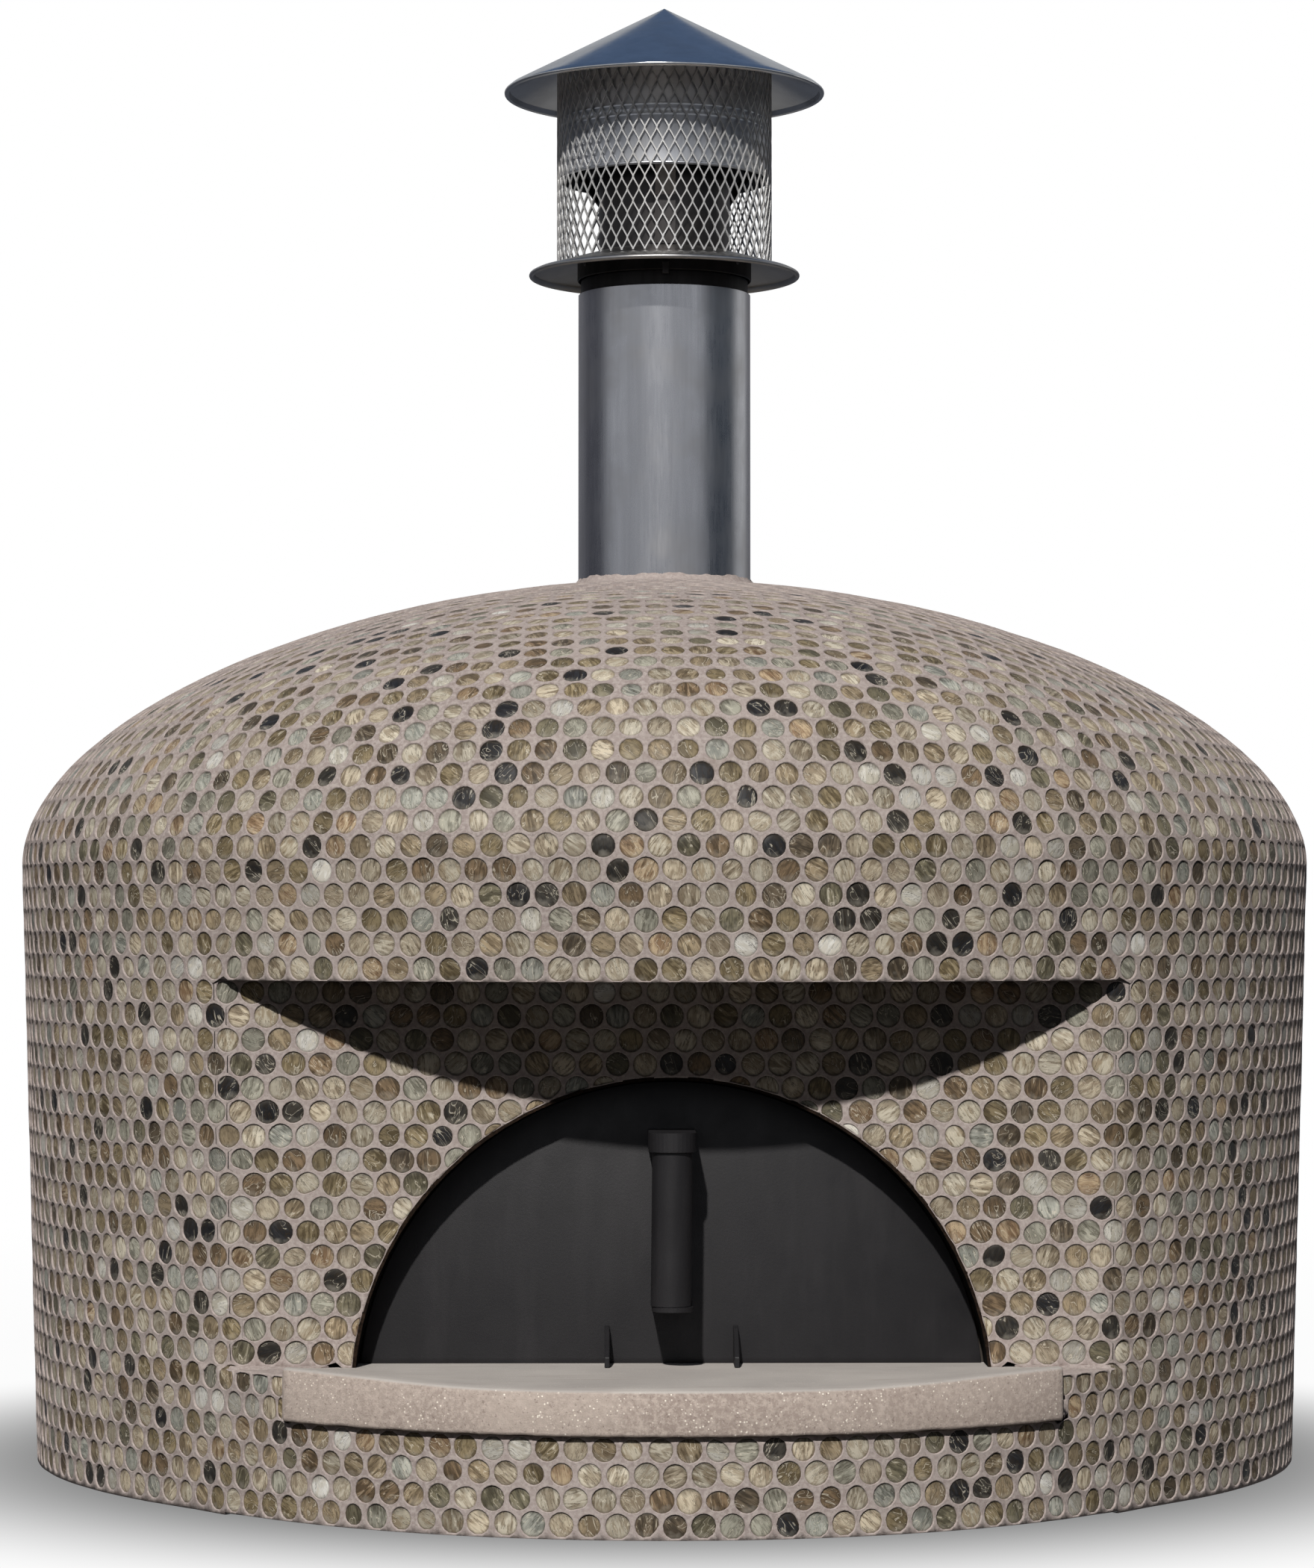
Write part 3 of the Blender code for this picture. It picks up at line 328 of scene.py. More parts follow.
GLASS = glass_material()
GROUT = grout_material()
STONE = stone_material()
COAT = powder_coat()
PIPE_STEEL = stainless("pipe_steel", (158, 159, 163), 0.25, (90, 90, 5), 0.25)
CAP_STEEL = stainless("cap_steel", (150, 148, 146), 0.32, (40, 40, 20), 0.5)
# near black: painted shade of the flange over the collar and the neck, on top of their sooty stains
SHADED_COLLAR_STEEL = stainless("collar_steel_painted_shade", (40, 39, 39), 0.5, (60, 60, 12), 0.4, (52, 48, 44))
HAT_STEEL = stainless("hat_steel", (190, 190, 190), 0.13, (40, 40, 20), 0.25)
DARK_STEEL = stainless("sooted_steel", (62, 60, 60), 0.40, (70, 70, 12), 0.4, (78, 72, 66))
BAND_STEEL = stainless("band_steel", (168, 170, 174), 0.36, (50, 50, 8), 0.3)
MESH_STEEL = stainless("screen_steel", (186, 186, 186), 0.5, (90, 90, 90), 0.3, metallic=0.35)
FRAME_STEEL = frame_steel()
CONCRETE = mineral_material("base_concrete", (128, 122, 116), (152, 146, 138), (96, 90, 84))
BOARD = mineral_material("insulation_board", (206, 200, 188), (222, 217, 206), (180, 172, 158))
FIREBRICK = mineral_material("firebrick", (188, 164, 128), (208, 186, 150), (150, 120, 86))
SOOTED = mineral_material("sooted_castable", (46, 42, 38), (64, 58, 52), (36, 33, 30))
CASTABLE = mineral_material("castable", (190, 178, 158), (210, 200, 182), (150, 138, 118))
RENDER = mineral_material("cement_render", (150, 145, 138), (170, 165, 158), (120, 114, 108))
FILL = mineral_material("vermiculite_fill", (170, 150, 116), (196, 180, 150), (120, 98, 66), 0.5)
BLANKET = fibre_material("ceramic_blanket", (206, 204, 198), (232, 231, 226))
SEAL = fibre_material("sooted_seal", (34, 32, 31), (52, 49, 47))
ROPE = fibre_material("fibreglass_rope", (176, 172, 162), (206, 202, 192))
IRON = mineral_material("cast_iron", (38, 37, 37), (52, 50, 49), (70, 62, 56), 1.5, 0.6, 0.0003)

# ---------------------------------------------------------------- mesh helpers


def new_object(name, mesh, material, body="oven", slot=None, replaces=()):
    thing = bpy.data.objects.new(name, mesh)
    bpy.context.scene.collection.objects.link(thing)
    mesh.materials.append(material)
    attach(thing, body)
    if replaces:
        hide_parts(*replaces)
    return thing


def mesh_of(name, points, faces, smooth_angle=40):
    """A mesh from points and faces of any size, smooth except where it turns sharply."""
    mesh = bpy.data.meshes.new(name)
    mesh.from_pydata([tuple(p) for p in points], [], [tuple(f) for f in faces])
    mesh.validate()
    mesh.shade_smooth()
    mesh.set_sharp_from_angle(angle=math.radians(smooth_angle))
    return mesh


def cleaned(mesh, weld=0.0, edge=0.0):
    """Welds near points, turns the faces outward, rounds sharp edges and renews the shading."""
    bm = bmesh.new()
    bm.from_mesh(mesh)
    if weld:
        bmesh.ops.remove_doubles(bm, verts=bm.verts, dist=weld)
    bmesh.ops.recalc_face_normals(bm, faces=bm.faces)
    if edge:
        sharp = [e for e in bm.edges if e.calc_face_angle(0) > math.radians(40)]
        bmesh.ops.bevel(bm, geom=sharp, offset=edge, segments=2, affect="EDGES",
                        profile=0.5, clamp_overlap=True)
    bm.to_mesh(mesh)
    bm.free()
    mesh.shade_smooth()
    mesh.set_sharp_from_angle(angle=math.radians(35))
    return mesh


def revolved(name, profile, material, steps=144, centre=(0, 0), lean=0.0, **kept):
    """A closed profile of (radius, z) points turned about the upright axis through centre."""
    profile = np.array(profile, float)
    turns = np.arange(steps) * 2 * np.pi / steps
    rings = np.stack([np.outer(np.cos(turns), profile[:, 0]),
                      np.outer(np.sin(turns), profile[:, 0]),
                      np.tile(profile[:, 1], (steps, 1))], axis=2)
    count = len(profile)
    faces = []
    for i in range(steps):
        a, b = i * count, (i + 1) % steps * count
        for j in range(count):
            k = (j + 1) % count
            faces.append((a + j, a + k, b + k, b + j))
    points = rings.reshape(-1, 3)
    middle = profile[:, 1].mean()
    points[:, 0] += centre[0] + (points[:, 2] - middle) * math.tan(lean)
    points[:, 1] += centre[1]
    return new_object(name, cleaned(mesh_of(name, points, faces), weld=1e-6), material, **kept)


def tube(name, node, radius, material, steps, wall=SHEET, **kept):
    """A plain tube as tall as the CAD node that it stands for."""
    low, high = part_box(node)
    inner = radius - wall
    profile = [(radius, low.z), (radius, high.z), (inner, high.z), (inner, low.z)]
    return revolved(name, profile, material, steps, replaces=(node,), **kept)


def prism(name, outline, low, high, material, plane="xy", edge=0.0, **kept):
    """A closed outline in the xy or xz plane, pushed from low to high, with rounded edges."""
    points = [(a, b, level) if plane == "xy" else (a, level, b)
              for level in (low, high) for a, b in outline]
    count = len(outline)
    faces = [tuple(range(count)), tuple(range(2 * count - 1, count - 1, -1))]
    faces += [(i, (i + 1) % count, count + (i + 1) % count, count + i) for i in range(count)]
    return new_object(name, cleaned(mesh_of(name, points, faces), edge=edge), material, **kept)


def loft_faces(size, count):
    """Faces that join count closed sections of size points each, with a cap at both ends."""
    stop = size * count
    faces = [tuple(range(size)), tuple(range(stop - 1, stop - size - 1, -1))]
    for a in range(0, stop - size, size):
        for j in range(size):
            k = (j + 1) % size
            faces.append((a + k, a + j, a + size + j, a + size + k))
    return faces


# ---------------------------------------------------------------- mosaic surfaces
def wall_radius(z):
    return BASE_RADIUS + (SPRING_RADIUS - BASE_RADIUS) * z / SPRING_Z


TURN = np.linspace(0, np.pi / 2, 400)
MERIDIAN = np.stack([SPRING_RADIUS * np.cos(TURN) ** DOME_ROUND,
                     SPRING_Z + DOME_RISE * np.sin(TURN) ** DOME_FLAT], axis=1)
RISE_ANGLE = np.arctan2(MERIDIAN[:, 1] - SPRING_Z, MERIDIAN[:, 0])
FRONT_ANGLE = 0.78            # to both sides of straight ahead, the front may leave the drum
APRON_BLEND = 0.004           # how softly the apron swells out of the drum


def smoothstep(value, start, stop):
    t = np.clip((value - start) / (stop - start), 0, 1)
    return t * t * (3 - 2 * t)


def swell_at(radius, z):
    """How far the dome's front stands ahead of a true dome of turning."""
    rise = smoothstep((z - SPRING_Z) / DOME_RISE, *SWELL_RISE)
    return SWELL * rise * smoothstep(radius, *SWELL_RADIUS)


def swollen(points):
    """The same points on the real dome, whose front is fuller than its back and sides."""
    radius = np.hypot(points[:, 0], points[:, 1])
    scale = 1 + swell_at(radius, points[:, 2]) / np.maximum(radius, 1e-9)
    moved = points.copy()
    moved[:, 1] *= np.where(points[:, 1] < 0, scale, 1.0)
    return moved


def unswollen(points):
    """The reverse of swollen, by repeated correction."""
    flat = points.copy()
    for _ in range(9):
        radius = np.hypot(flat[:, 0], flat[:, 1])
        scale = 1 + swell_at(radius, points[:, 2]) / np.maximum(radius, 1e-9)
        flat[:, 1] = points[:, 1] / np.where(points[:, 1] < 0, scale, 1.0)
    return flat


def round_point(turn, angle, z):
    """The point of the drum or dome at an azimuth and a rise angle (or a height, if lower)."""
    on_dome = angle > 0
    radius = np.where(on_dome, np.interp(angle, RISE_ANGLE, MERIDIAN[:, 0]), wall_radius(z))
    height = np.where(on_dome, np.interp(angle, RISE_ANGLE, MERIDIAN[:, 1]), z)
    return swollen(np.column_stack([radius * np.cos(turn), radius * np.sin(turn), height]))


def project_round(points):
    """Nearest points on the drum and dome, and the outward normals there."""
    flat = unswollen(points)
    turn = np.arctan2(flat[:, 1], flat[:, 0])
    angle = np.arctan2(flat[:, 2] - SPRING_Z, np.hypot(flat[:, 0], flat[:, 1]))
    z, e = points[:, 2], 2e-4
    across = round_point(turn + e, angle, z) - round_point(turn - e, angle, z)
    step = np.where(angle > 0, e, 0.0)
    upward = round_point(turn, angle + step, z + e) - round_point(turn, angle - step, z - e)
    normals = np.cross(across, upward)
    normals /= np.linalg.norm(normals, axis=1)[:, None]
    return round_point(turn, angle, z), normals


def corner_of(z):
    """Half width of the flat part of the facet, and the angle through which its corner turns."""
    radius = wall_radius(z)
    half = np.sqrt((radius - CORNER) ** 2 - (-FACET_Y - CORNER) ** 2)
    return half, np.arctan2(half, -FACET_Y - CORNER)


def front_radius(angle, z):
    """Distance of the front from the axis, at an angle (0 or more) from straight ahead.

    Above the shelf's underside, and above the ledge beside the shelf, it is the facet with its
    rounded corners. Below them it is the apron that swells out of the drum.
    """
    sine, cosine = np.sin(angle), np.cos(angle)
    drum = wall_radius(z)
    half, swing = corner_of(z)
    along = sine * half + cosine * (-FACET_Y - CORNER)
    spare = CORNER ** 2 - half ** 2 - (FACET_Y + CORNER) ** 2 + along ** 2
    upper = np.where(-FACET_Y * sine <= half * cosine, -FACET_Y / cosine,
                     np.where(angle < swing, along + np.sqrt(np.maximum(spare, 0)), drum))
    apron = SHELF_CENTRE * cosine + np.sqrt(APRON_RADIUS ** 2 - (SHELF_CENTRE * sine) ** 2)
    lower = (drum + apron + np.sqrt((drum - apron) ** 2 + APRON_BLEND ** 2)) / 2
    past_shelf = lower * sine > shelf_high.x - 0.0005
    return np.where(z < np.where(past_shelf, LEDGE_Z, shelf_low.z), lower, upper)


def front_point(angle, z):
    radius = front_radius(np.abs(angle), z)
    return np.column_stack([radius * np.sin(angle), -radius * np.cos(angle), z])


def project_front(points):
    """Like project_round for the drum's height, with the facet and the apron in front."""
    spots, normals = project_round(points)
    angle = np.arctan2(points[:, 0], -points[:, 1])
    near = np.abs(angle) < FRONT_ANGLE
    if near.any():
        angle, z, e = angle[near], points[near, 2], 1e-4
        across = front_point(angle + e, z) - front_point(angle - e, z)
        upward = front_point(angle, z + e) - front_point(angle, z - e)
        out = np.cross(across, upward)
        spots[near] = front_point(angle, z)
        normals[near] = out / np.linalg.norm(out, axis=1)[:, None]
    return spots, normals


def project_soffit(points):
    spots = points.copy()
    spots[:, 2] = OVERHANG_Z
    return spots, np.tile((0.0, 0.0, -1.0), (len(points), 1))


# ---------------------------------------------------------------- mosaic layout
PITCH, ROW = 0.0217, 0.01905
TILE_RADIUS = 0.0095
LAST_ROW_Z = OVERHANG_Z + 0.0097
ROWS_BELOW = 22
WALL_COUNT = 162
DOME_ROW, DOME_PITCH = 0.0196, 0.0220
SOFFIT_ROW, SOFFIT_FRONT = 0.0188, -0.575
STRAY = 0.00028               # how far a hand-set tile strays from its row
CELL_REACH = 0.0185           # a tile's bed before its neighbours and the zone's edges cut it
NEIGHBOUR_REACH = 0.033
SMALLEST_BED = 4e-6           # in square metres
LEAST_SHARE = 0.16            # a tile cut to less than this is left out of its bed
SEAM = 0.0002                 # between the zones that meet at the ledge
SHELF_JOINT, END_JOINT = 0.0008, 0.0006         # clear of the shelf, below and beside it
FRAME_LAP = 0.0014            # how far the grout laps over the arch frame's edge
SOFFIT_INSET, SOFFIT_BACK = 0.0022, 0.0055      # inside the dome's skirt, and behind the facet
EDGE_DEPTH = 0.0055           # how deep the grout is turned in along a zone's edge
CUT_JOINT = 0.0009            # grout left between a cut tile and its zone's edge
SINK = 0.0009, 0.0014         # how deep a tile lies in its grout, at least and at most
TIP = 0.020                   # the spread of the tiles' tilt
OVERLAP = 0.00002             # of a tile and its grout
GROUT_LIP = (0.0011, 0.6, 0.00008), (0.00035, 0.3, 0.00016)     # (reach, share of gap, height)
TILE_RINGS = (1.0, OVERLAP, -0.0001), (0.93, 0, 0.00026), (0.6, 0, 0.00046)
TILE_CROWN = 0.00055          # the rings are (share of the radius, more, height)


def ring_sites(z, radius, count, phase):
    turns = (np.arange(count) + phase) * 2 * np.pi / count - np.pi / 2
    return np.column_stack([radius * np.cos(turns), radius * np.sin(turns),
                            np.full(count, z)])


def row_sites(z, odd):
    """One row round the drum: even steps behind, and steps evened out along the front."""
    radius = wall_radius(z)
    step = 2 * np.pi / WALL_COUNT
    turns = (np.arange(WALL_COUNT) + (0.5 if odd else 0.0)) * step
    turns = turns[np.abs(turns - np.pi) < np.pi - FRONT_ANGLE]
    sites = [(radius * math.sin(t), -radius * math.cos(t), z) for t in turns]
    swing = np.linspace(0, turns.min(), 500)
    path = front_point(swing, np.full(500, z))
    along = np.concatenate([[0], np.cumsum(np.linalg.norm(np.diff(path, axis=0), axis=1))])
    run = along[-1]
    gaps = 2 * round((2 * run / PITCH - odd) / 2) + odd
    for index in range(1, gaps):
        place = -run + 2 * run * index / gaps
        x = math.copysign(np.interp(abs(place), along, path[:, 0]), place)
        sites.append((x, np.interp(abs(place), along, path[:, 1]), z))
    sites = np.array(sites)
    if shelf_low.z < z < HEARTH_Z:
        sites = sites[(sites[:, 1] > 0) | (np.abs(sites[:, 0]) > shelf_high.x - 0.010)]
    return sites


def dome_rows(first):
    """Rows of the dome at equal steps up its own surface, which is longer in front: there the
    last rows are only open arcs. Sites are evenly spaced round each row."""
    turns = np.linspace(-np.pi, np.pi, 721) - np.pi / 2
    level = RISE_ANGLE[RISE_ANGLE < RISE_ANGLE[np.argmin(MERIDIAN[:, 0] > HOLE_RADIUS + 0.004)]]
    grid = np.stack([round_point(np.full(len(level), t), level, np.full(len(level), SPRING_Z))
                     for t in turns])
    steps = np.linalg.norm(np.diff(grid, axis=1), axis=2)
    along = np.concatenate([np.zeros((len(turns), 1)), np.cumsum(steps, axis=1)], axis=1)
    rows, k = [], 0
    while first + k * DOME_ROW < along[:, -1].max():
        place = first + k * DOME_ROW
        kept = np.array([a[-1] >= place for a in along])
        path = np.array([[np.interp(place, along[i], grid[i, :, c]) for c in range(3)]
                         for i in np.flatnonzero(kept)])
        length = np.concatenate([[0], np.cumsum(np.linalg.norm(np.diff(path, axis=0), axis=1))])
        count = max(1, round(length[-1] / DOME_PITCH))
        spots = (np.arange(count) + 0.5 * (k % 2)) / count * length[-1]
        rows.append(np.column_stack([np.interp(spots, length, path[:, c]) for c in range(3)]))
        k += 1
    return rows


def zone_sites():
    """Tile centres of each zone: low, middle, dome and soffit."""
    zones = {"low": [], "middle": [], "dome": [], "soffit": []}
    for k in range(1, ROWS_BELOW + 1):
        z = LAST_ROW_Z - k * ROW
        zones["low" if z < HEARTH_Z else "middle"].append(row_sites(z, k % 2 == 1))
    z, k = LAST_ROW_Z, 0
    while z < SPRING_Z:
        zones["dome"].append(ring_sites(z, wall_radius(z), WALL_COUNT, 0.5 * (k % 2)))
        z += ROW
        k += 1
    zones["dome"] += dome_rows(z - SPRING_Z)
    y, k = FACET_Y - 0.0098, 0
    while y > SOFFIT_FRONT:
        xs = np.arange(-20, 21) * PITCH + (PITCH / 2 if k % 2 else 0)
        zones["soffit"].append(np.column_stack([xs, np.full(len(xs), y),
                                                np.full(len(xs), OVERHANG_Z)]))
        y -= SOFFIT_ROW
        k += 1
    return {zone: np.concatenate(rows) for zone, rows in zones.items()}


PROJECT = {"low": project_front, "middle": project_front, "dome": project_round,
           "soffit": project_soffit}


def clipped(polygon, a, b, c):
    """The part of a convex polygon where a*u + b*v <= c."""
    kept = []
    count = len(polygon)
    for i in range(count):
        p, q = polygon[i], polygon[(i + 1) % count]
        dp, dq = a * p[0] + b * p[1] - c, a * q[0] + b * q[1] - c
        if dp <= 0:
            kept.append(p)
        if (dp < 0 < dq) or (dq < 0 < dp):
            t = dp / (dp - dq)
            kept.append((p[0] + t * (q[0] - p[0]), p[1] + t * (q[1] - p[1])))
    return kept


def area_and_middle(polygon):
    area = mu = mv = 0.0
    for (u0, v0), (u1, v1) in zip(polygon, polygon[1:] + polygon[:1]):
        cross = u0 * v1 - u1 * v0
        area += cross / 2
        mu += (u0 + u1) * cross / 6
        mv += (v0 + v1) * cross / 6
    return area, ((mu / area, mv / area) if area > 1e-12 else (0.0, 0.0))


def limits_of(zone, centre, right, up):
    """Edges of the zone near a tile, as lines a*u + b*v <= c in the tile's own plane."""
    if zone == "soffit":
        return soffit_limits(centre, right, up)
    x, y, z = centre
    lines = []
    half = math.sqrt(wall_radius(z) ** 2 - FACET_Y ** 2)
    cut_back = y < 0 and abs(x) < half - 0.002
    beside_shelf = shelf_low.z < z < shelf_high.z
    if zone == "low":
        on_apron = y < 0 and abs(x) < apron_high.x
        if cut_back and z > shelf_low.z:
            lines.append((0, up[2], LEDGE_Z - SEAM - z))
        lines.append((0, -up[2], z - (apron_low.z if on_apron else wall_low.z)))
        if y < 0 and abs(x) < shelf_high.x and not beside_shelf:
            lines.append((0, up[2], shelf_low.z - SHELF_JOINT - z))
        elif on_apron and beside_shelf and abs(x) < shelf_high.x + PITCH:
            side = math.copysign(1, x)
            lines.append((-side * right[0], -side * up[0], abs(x) - shelf_high.x - END_JOINT))
    if zone == "middle" and cut_back:
        lines.append((0, up[2], OVERHANG_Z - z))
        lines.append((0, -up[2], z - LEDGE_Z - SEAM))
        reach = math.hypot(x, z - MOUTH_Z)
        if reach < MOUTH_RADIUS + NEIGHBOUR_REACH:
            # away from the arch's centre is the kept side
            outward = np.array([x, 0, z - MOUTH_Z]) / reach
            lines.append((-outward @ right, -outward @ up, reach - MOUTH_RADIUS + FRAME_LAP))
    if zone == "dome":
        if cut_back and z < OVERHANG_Z + NEIGHBOUR_REACH:
            lines.append((0, -up[2], z - OVERHANG_Z))
        around = math.hypot(x, y)
        if around < HOLE_RADIUS + NEIGHBOUR_REACH:
            inward = -np.array([x, y, 0]) / around
            lines.append((inward @ right, inward @ up, around - HOLE_RADIUS))
    return lines


def soffit_limits(centre, right, up):
    x, y, _ = centre
    around = math.hypot(x, y)
    outward = np.array([x, y, 0]) / around
    rim = wall_radius(OVERHANG_Z) - SOFFIT_INSET
    return [(outward @ right, outward @ up, rim - around),
            (right[1], up[1], FACET_Y + SOFFIT_BACK - y)]


PALETTE = [                    # (share, colour, vein), in display values
    (14, (146, 132, 112), (196, 184, 162)), (12, (118, 104, 84), (164, 148, 122)),
    (11, (164, 152, 132), (204, 196, 178)), (10, (102, 90, 68), (148, 134, 106)),
    (8, (124, 122, 110), (168, 166, 152)), (7, (90, 76, 60), (136, 116, 92)),
    (6, (134, 136, 128), (178, 178, 168)), (8, (186, 178, 160), (150, 136, 114)),
    (5, (86, 82, 68), (124, 118, 98)), (4, (132, 108, 84), (182, 162, 134)),
    (4, (72, 64, 54), (110, 98, 82)), (4, (42, 41, 40), (66, 63, 58)),
    (3, (34, 34, 36), (50, 50, 52)), (4, (204, 201, 192), (176, 171, 158)),
    (2, (218, 216, 210), (198, 194, 184)),
]
SHARES = np.array([p[0] for p in PALETTE], float) / sum(p[0] for p in PALETTE)
FIRST_PLAIN = 11               # from this one on, a colour and its vein are never exchanged


def grout_level(points):
    """Slow hand-trowelled waves of the grout, from a few fixed sine waves."""
    waves = ((61, 23, 37, 0.3), (-35, 52, 71, 1.9), (97, -81, 15, 4.2), (-140, -60, 120, 2.4))
    total = sum(np.sin(points @ np.array(w[:3]) + w[3]) for w in waves)
    return -0.00045 + 0.00009 * total


class Batch:
    """Points and faces of many small patches, turned into one mesh in the end."""

    def __init__(self):
        self.points, self.faces, self.count = [], [], 0
        self.extra = {"tint": [], "vein": [], "grain": [], "rim": [], "lift": []}

    def rings(self, rings, centre=None):
        """Joins rings of equal length with quads, and fans the last one to a centre."""
        size = len(rings[0])
        start = self.count
        self.points.extend(rings)
        self.count += size * len(rings)
        step = np.arange(size)
        after = (step + 1) % size
        for level in range(len(rings) - 1):
            a, b = start + level * size, start + (level + 1) * size
            self.faces.append(np.column_stack([a + step, a + after, b + after, b + step]))
        if centre is not None:
            self.points.append(centre[None])
            last = start + (len(rings) - 1) * size
            self.faces.append(np.column_stack([last + step, last + after,
                                               np.full(size, self.count),
                                               np.full(size, -1)]))
            self.count += 1

    def strip(self, upper, lower):
        """One quad between two pairs of points."""
        self.points.append(np.concatenate([upper, lower]))
        a = self.count
        self.faces.append(np.array([[a, a + 2, a + 3, a + 1]]))
        self.count += 4

    def mesh(self, name, weld=0.0):
        points = np.concatenate(self.points)
        faces = np.concatenate(self.faces)
        sizes = np.where(faces[:, 3] < 0, 3, 4)
        mesh = bpy.data.meshes.new(name)
        mesh.vertices.add(len(points))
        mesh.vertices.foreach_set("co", points.astype(np.float32).ravel())
        corners = faces.ravel()
        corners = corners[corners >= 0]
        mesh.loops.add(len(corners))
        mesh.loops.foreach_set("vertex_index", corners.astype(np.int32))
        mesh.polygons.add(len(faces))
        mesh.polygons.foreach_set("loop_start",
                                  np.concatenate([[0], np.cumsum(sizes)[:-1]]).astype(np.int32))
        mesh.update(calc_edges=True)
        for key, kind, field in (("tint", "FLOAT_COLOR", "color"), ("vein", "FLOAT_COLOR", "color"),
                                 ("grain", "FLOAT_VECTOR", "vector"), ("rim", "FLOAT", "value"),
                                 ("lift", "FLOAT", "value")):
            if self.extra[key]:
                data = mesh.attributes.new(key, kind, "POINT").data
                data.foreach_set(field, np.concatenate(self.extra[key]).astype(np.float32).ravel())
        if weld:
            bm = bmesh.new()
            bm.from_mesh(mesh)
            bmesh.ops.remove_doubles(bm, verts=bm.verts, dist=weld)
            bm.to_mesh(mesh)
            bm.free()
        mesh.shade_smooth()
        return mesh


RAY_TURNS = np.arange(24) * np.pi / 12
RAYS = np.column_stack([np.cos(RAY_TURNS), np.sin(RAY_TURNS)])


def tile_outline():
    """A penny round as a polygon: mostly true circles, some smaller, oval or lapped by grout."""
    radius = TILE_RADIUS * (1 + 0.018 * rng.standard_normal())
    fate = rng.random()
    if fate < 0.05:
        radius *= rng.uniform(0.84, 0.93)
    points = RAYS * radius
    lean = rng.uniform(0, 2 * np.pi)
    axis = np.array([math.cos(lean), math.sin(lean)])
    if fate > 0.95:
        points = points - np.outer(points @ axis, axis) * rng.uniform(0.1, 0.2)
    elif fate > 0.90:
        lap = np.maximum(points @ axis / radius, 0) ** 3
        points = points * (1 - lap * rng.uniform(0.15, 0.35))[:, None]
    return [tuple(p) for p in points]


def reach_along(polygon, directions):
    """Distance from the origin to a convex polygon's edge along each direction."""
    p = np.array(polygon)
    q = np.roll(p, -1, axis=0)
    edge = q - p
    normal = np.column_stack([edge[:, 1], -edge[:, 0]])
    offset = np.einsum("ij,ij->i", normal, p)
    facing = directions @ normal.T
    with np.errstate(divide="ignore", invalid="ignore"):
        reach = np.where(facing > 1e-12, offset / facing, np.inf)
    return reach.min(axis=1)


def bed_of(centre, right, up, neighbours, lines):
    """The part of a tile's plane that is nearer to it than to any other and inside its zone."""
    bed = [(CELL_REACH * u, CELL_REACH * v) for u, v in RAYS[::2]]
    for other in neighbours:
        offset = other - centre
        u, v = offset @ right, offset @ up
        length = math.hypot(u, v)
        if length > 1e-6:
            bed = clipped(bed, u / length, v / length, np.linalg.norm(offset) / 2)
    for line in lines:
        bed = clipped(bed, *line)
    return bed


def paint(tiles, local):
    """Draws a tile's two colours and its streaks, at its points in its own plane."""
    pick = rng.choice(len(PALETTE), p=SHARES)
    _, tint, vein = PALETTE[pick]
    shade = rng.uniform(0.64, 1.16)
    tint = np.clip(np.array(srgb(*tint)) * shade, 0, 0.9)
    vein = np.clip(np.array(srgb(*vein)) * shade, 0, 0.9)
    if rng.random() < 0.5 and pick < FIRST_PLAIN:
        tint, vein = vein, tint
    lean = rng.normal(0.5, 0.45) * rng.choice((-1, 1), p=(0.3, 0.7))
    turned = np.column_stack([local @ (math.cos(lean), math.sin(lean)),
                              local @ (-math.sin(lean), math.cos(lean)), np.zeros(len(local))])
    tiles.extra["grain"].append(turned + rng.uniform(-3, 3, 3))
    tiles.extra["tint"].append(np.tile((*tint, 1.0), (len(local), 1)))
    tiles.extra["vein"].append(np.tile((*vein, 1.0), (len(local), 1)))
    # the height across the tile, which the glass material turns into painted shade at the top and
    # painted light at the bottom
    tiles.extra["lift"].append(local[:, 1] / TILE_RADIUS)


def tangents(normal):
    """The two directions along a surface, to the right and up, as seen from outside."""
    upright = np.array([0.0, 0.0, 1.0]) if abs(normal[2]) < 0.999 else np.array([0.0, 1.0, 0.0])
    right = np.cross(upright, normal)
    right /= np.linalg.norm(right)
    return right, np.cross(normal, right)


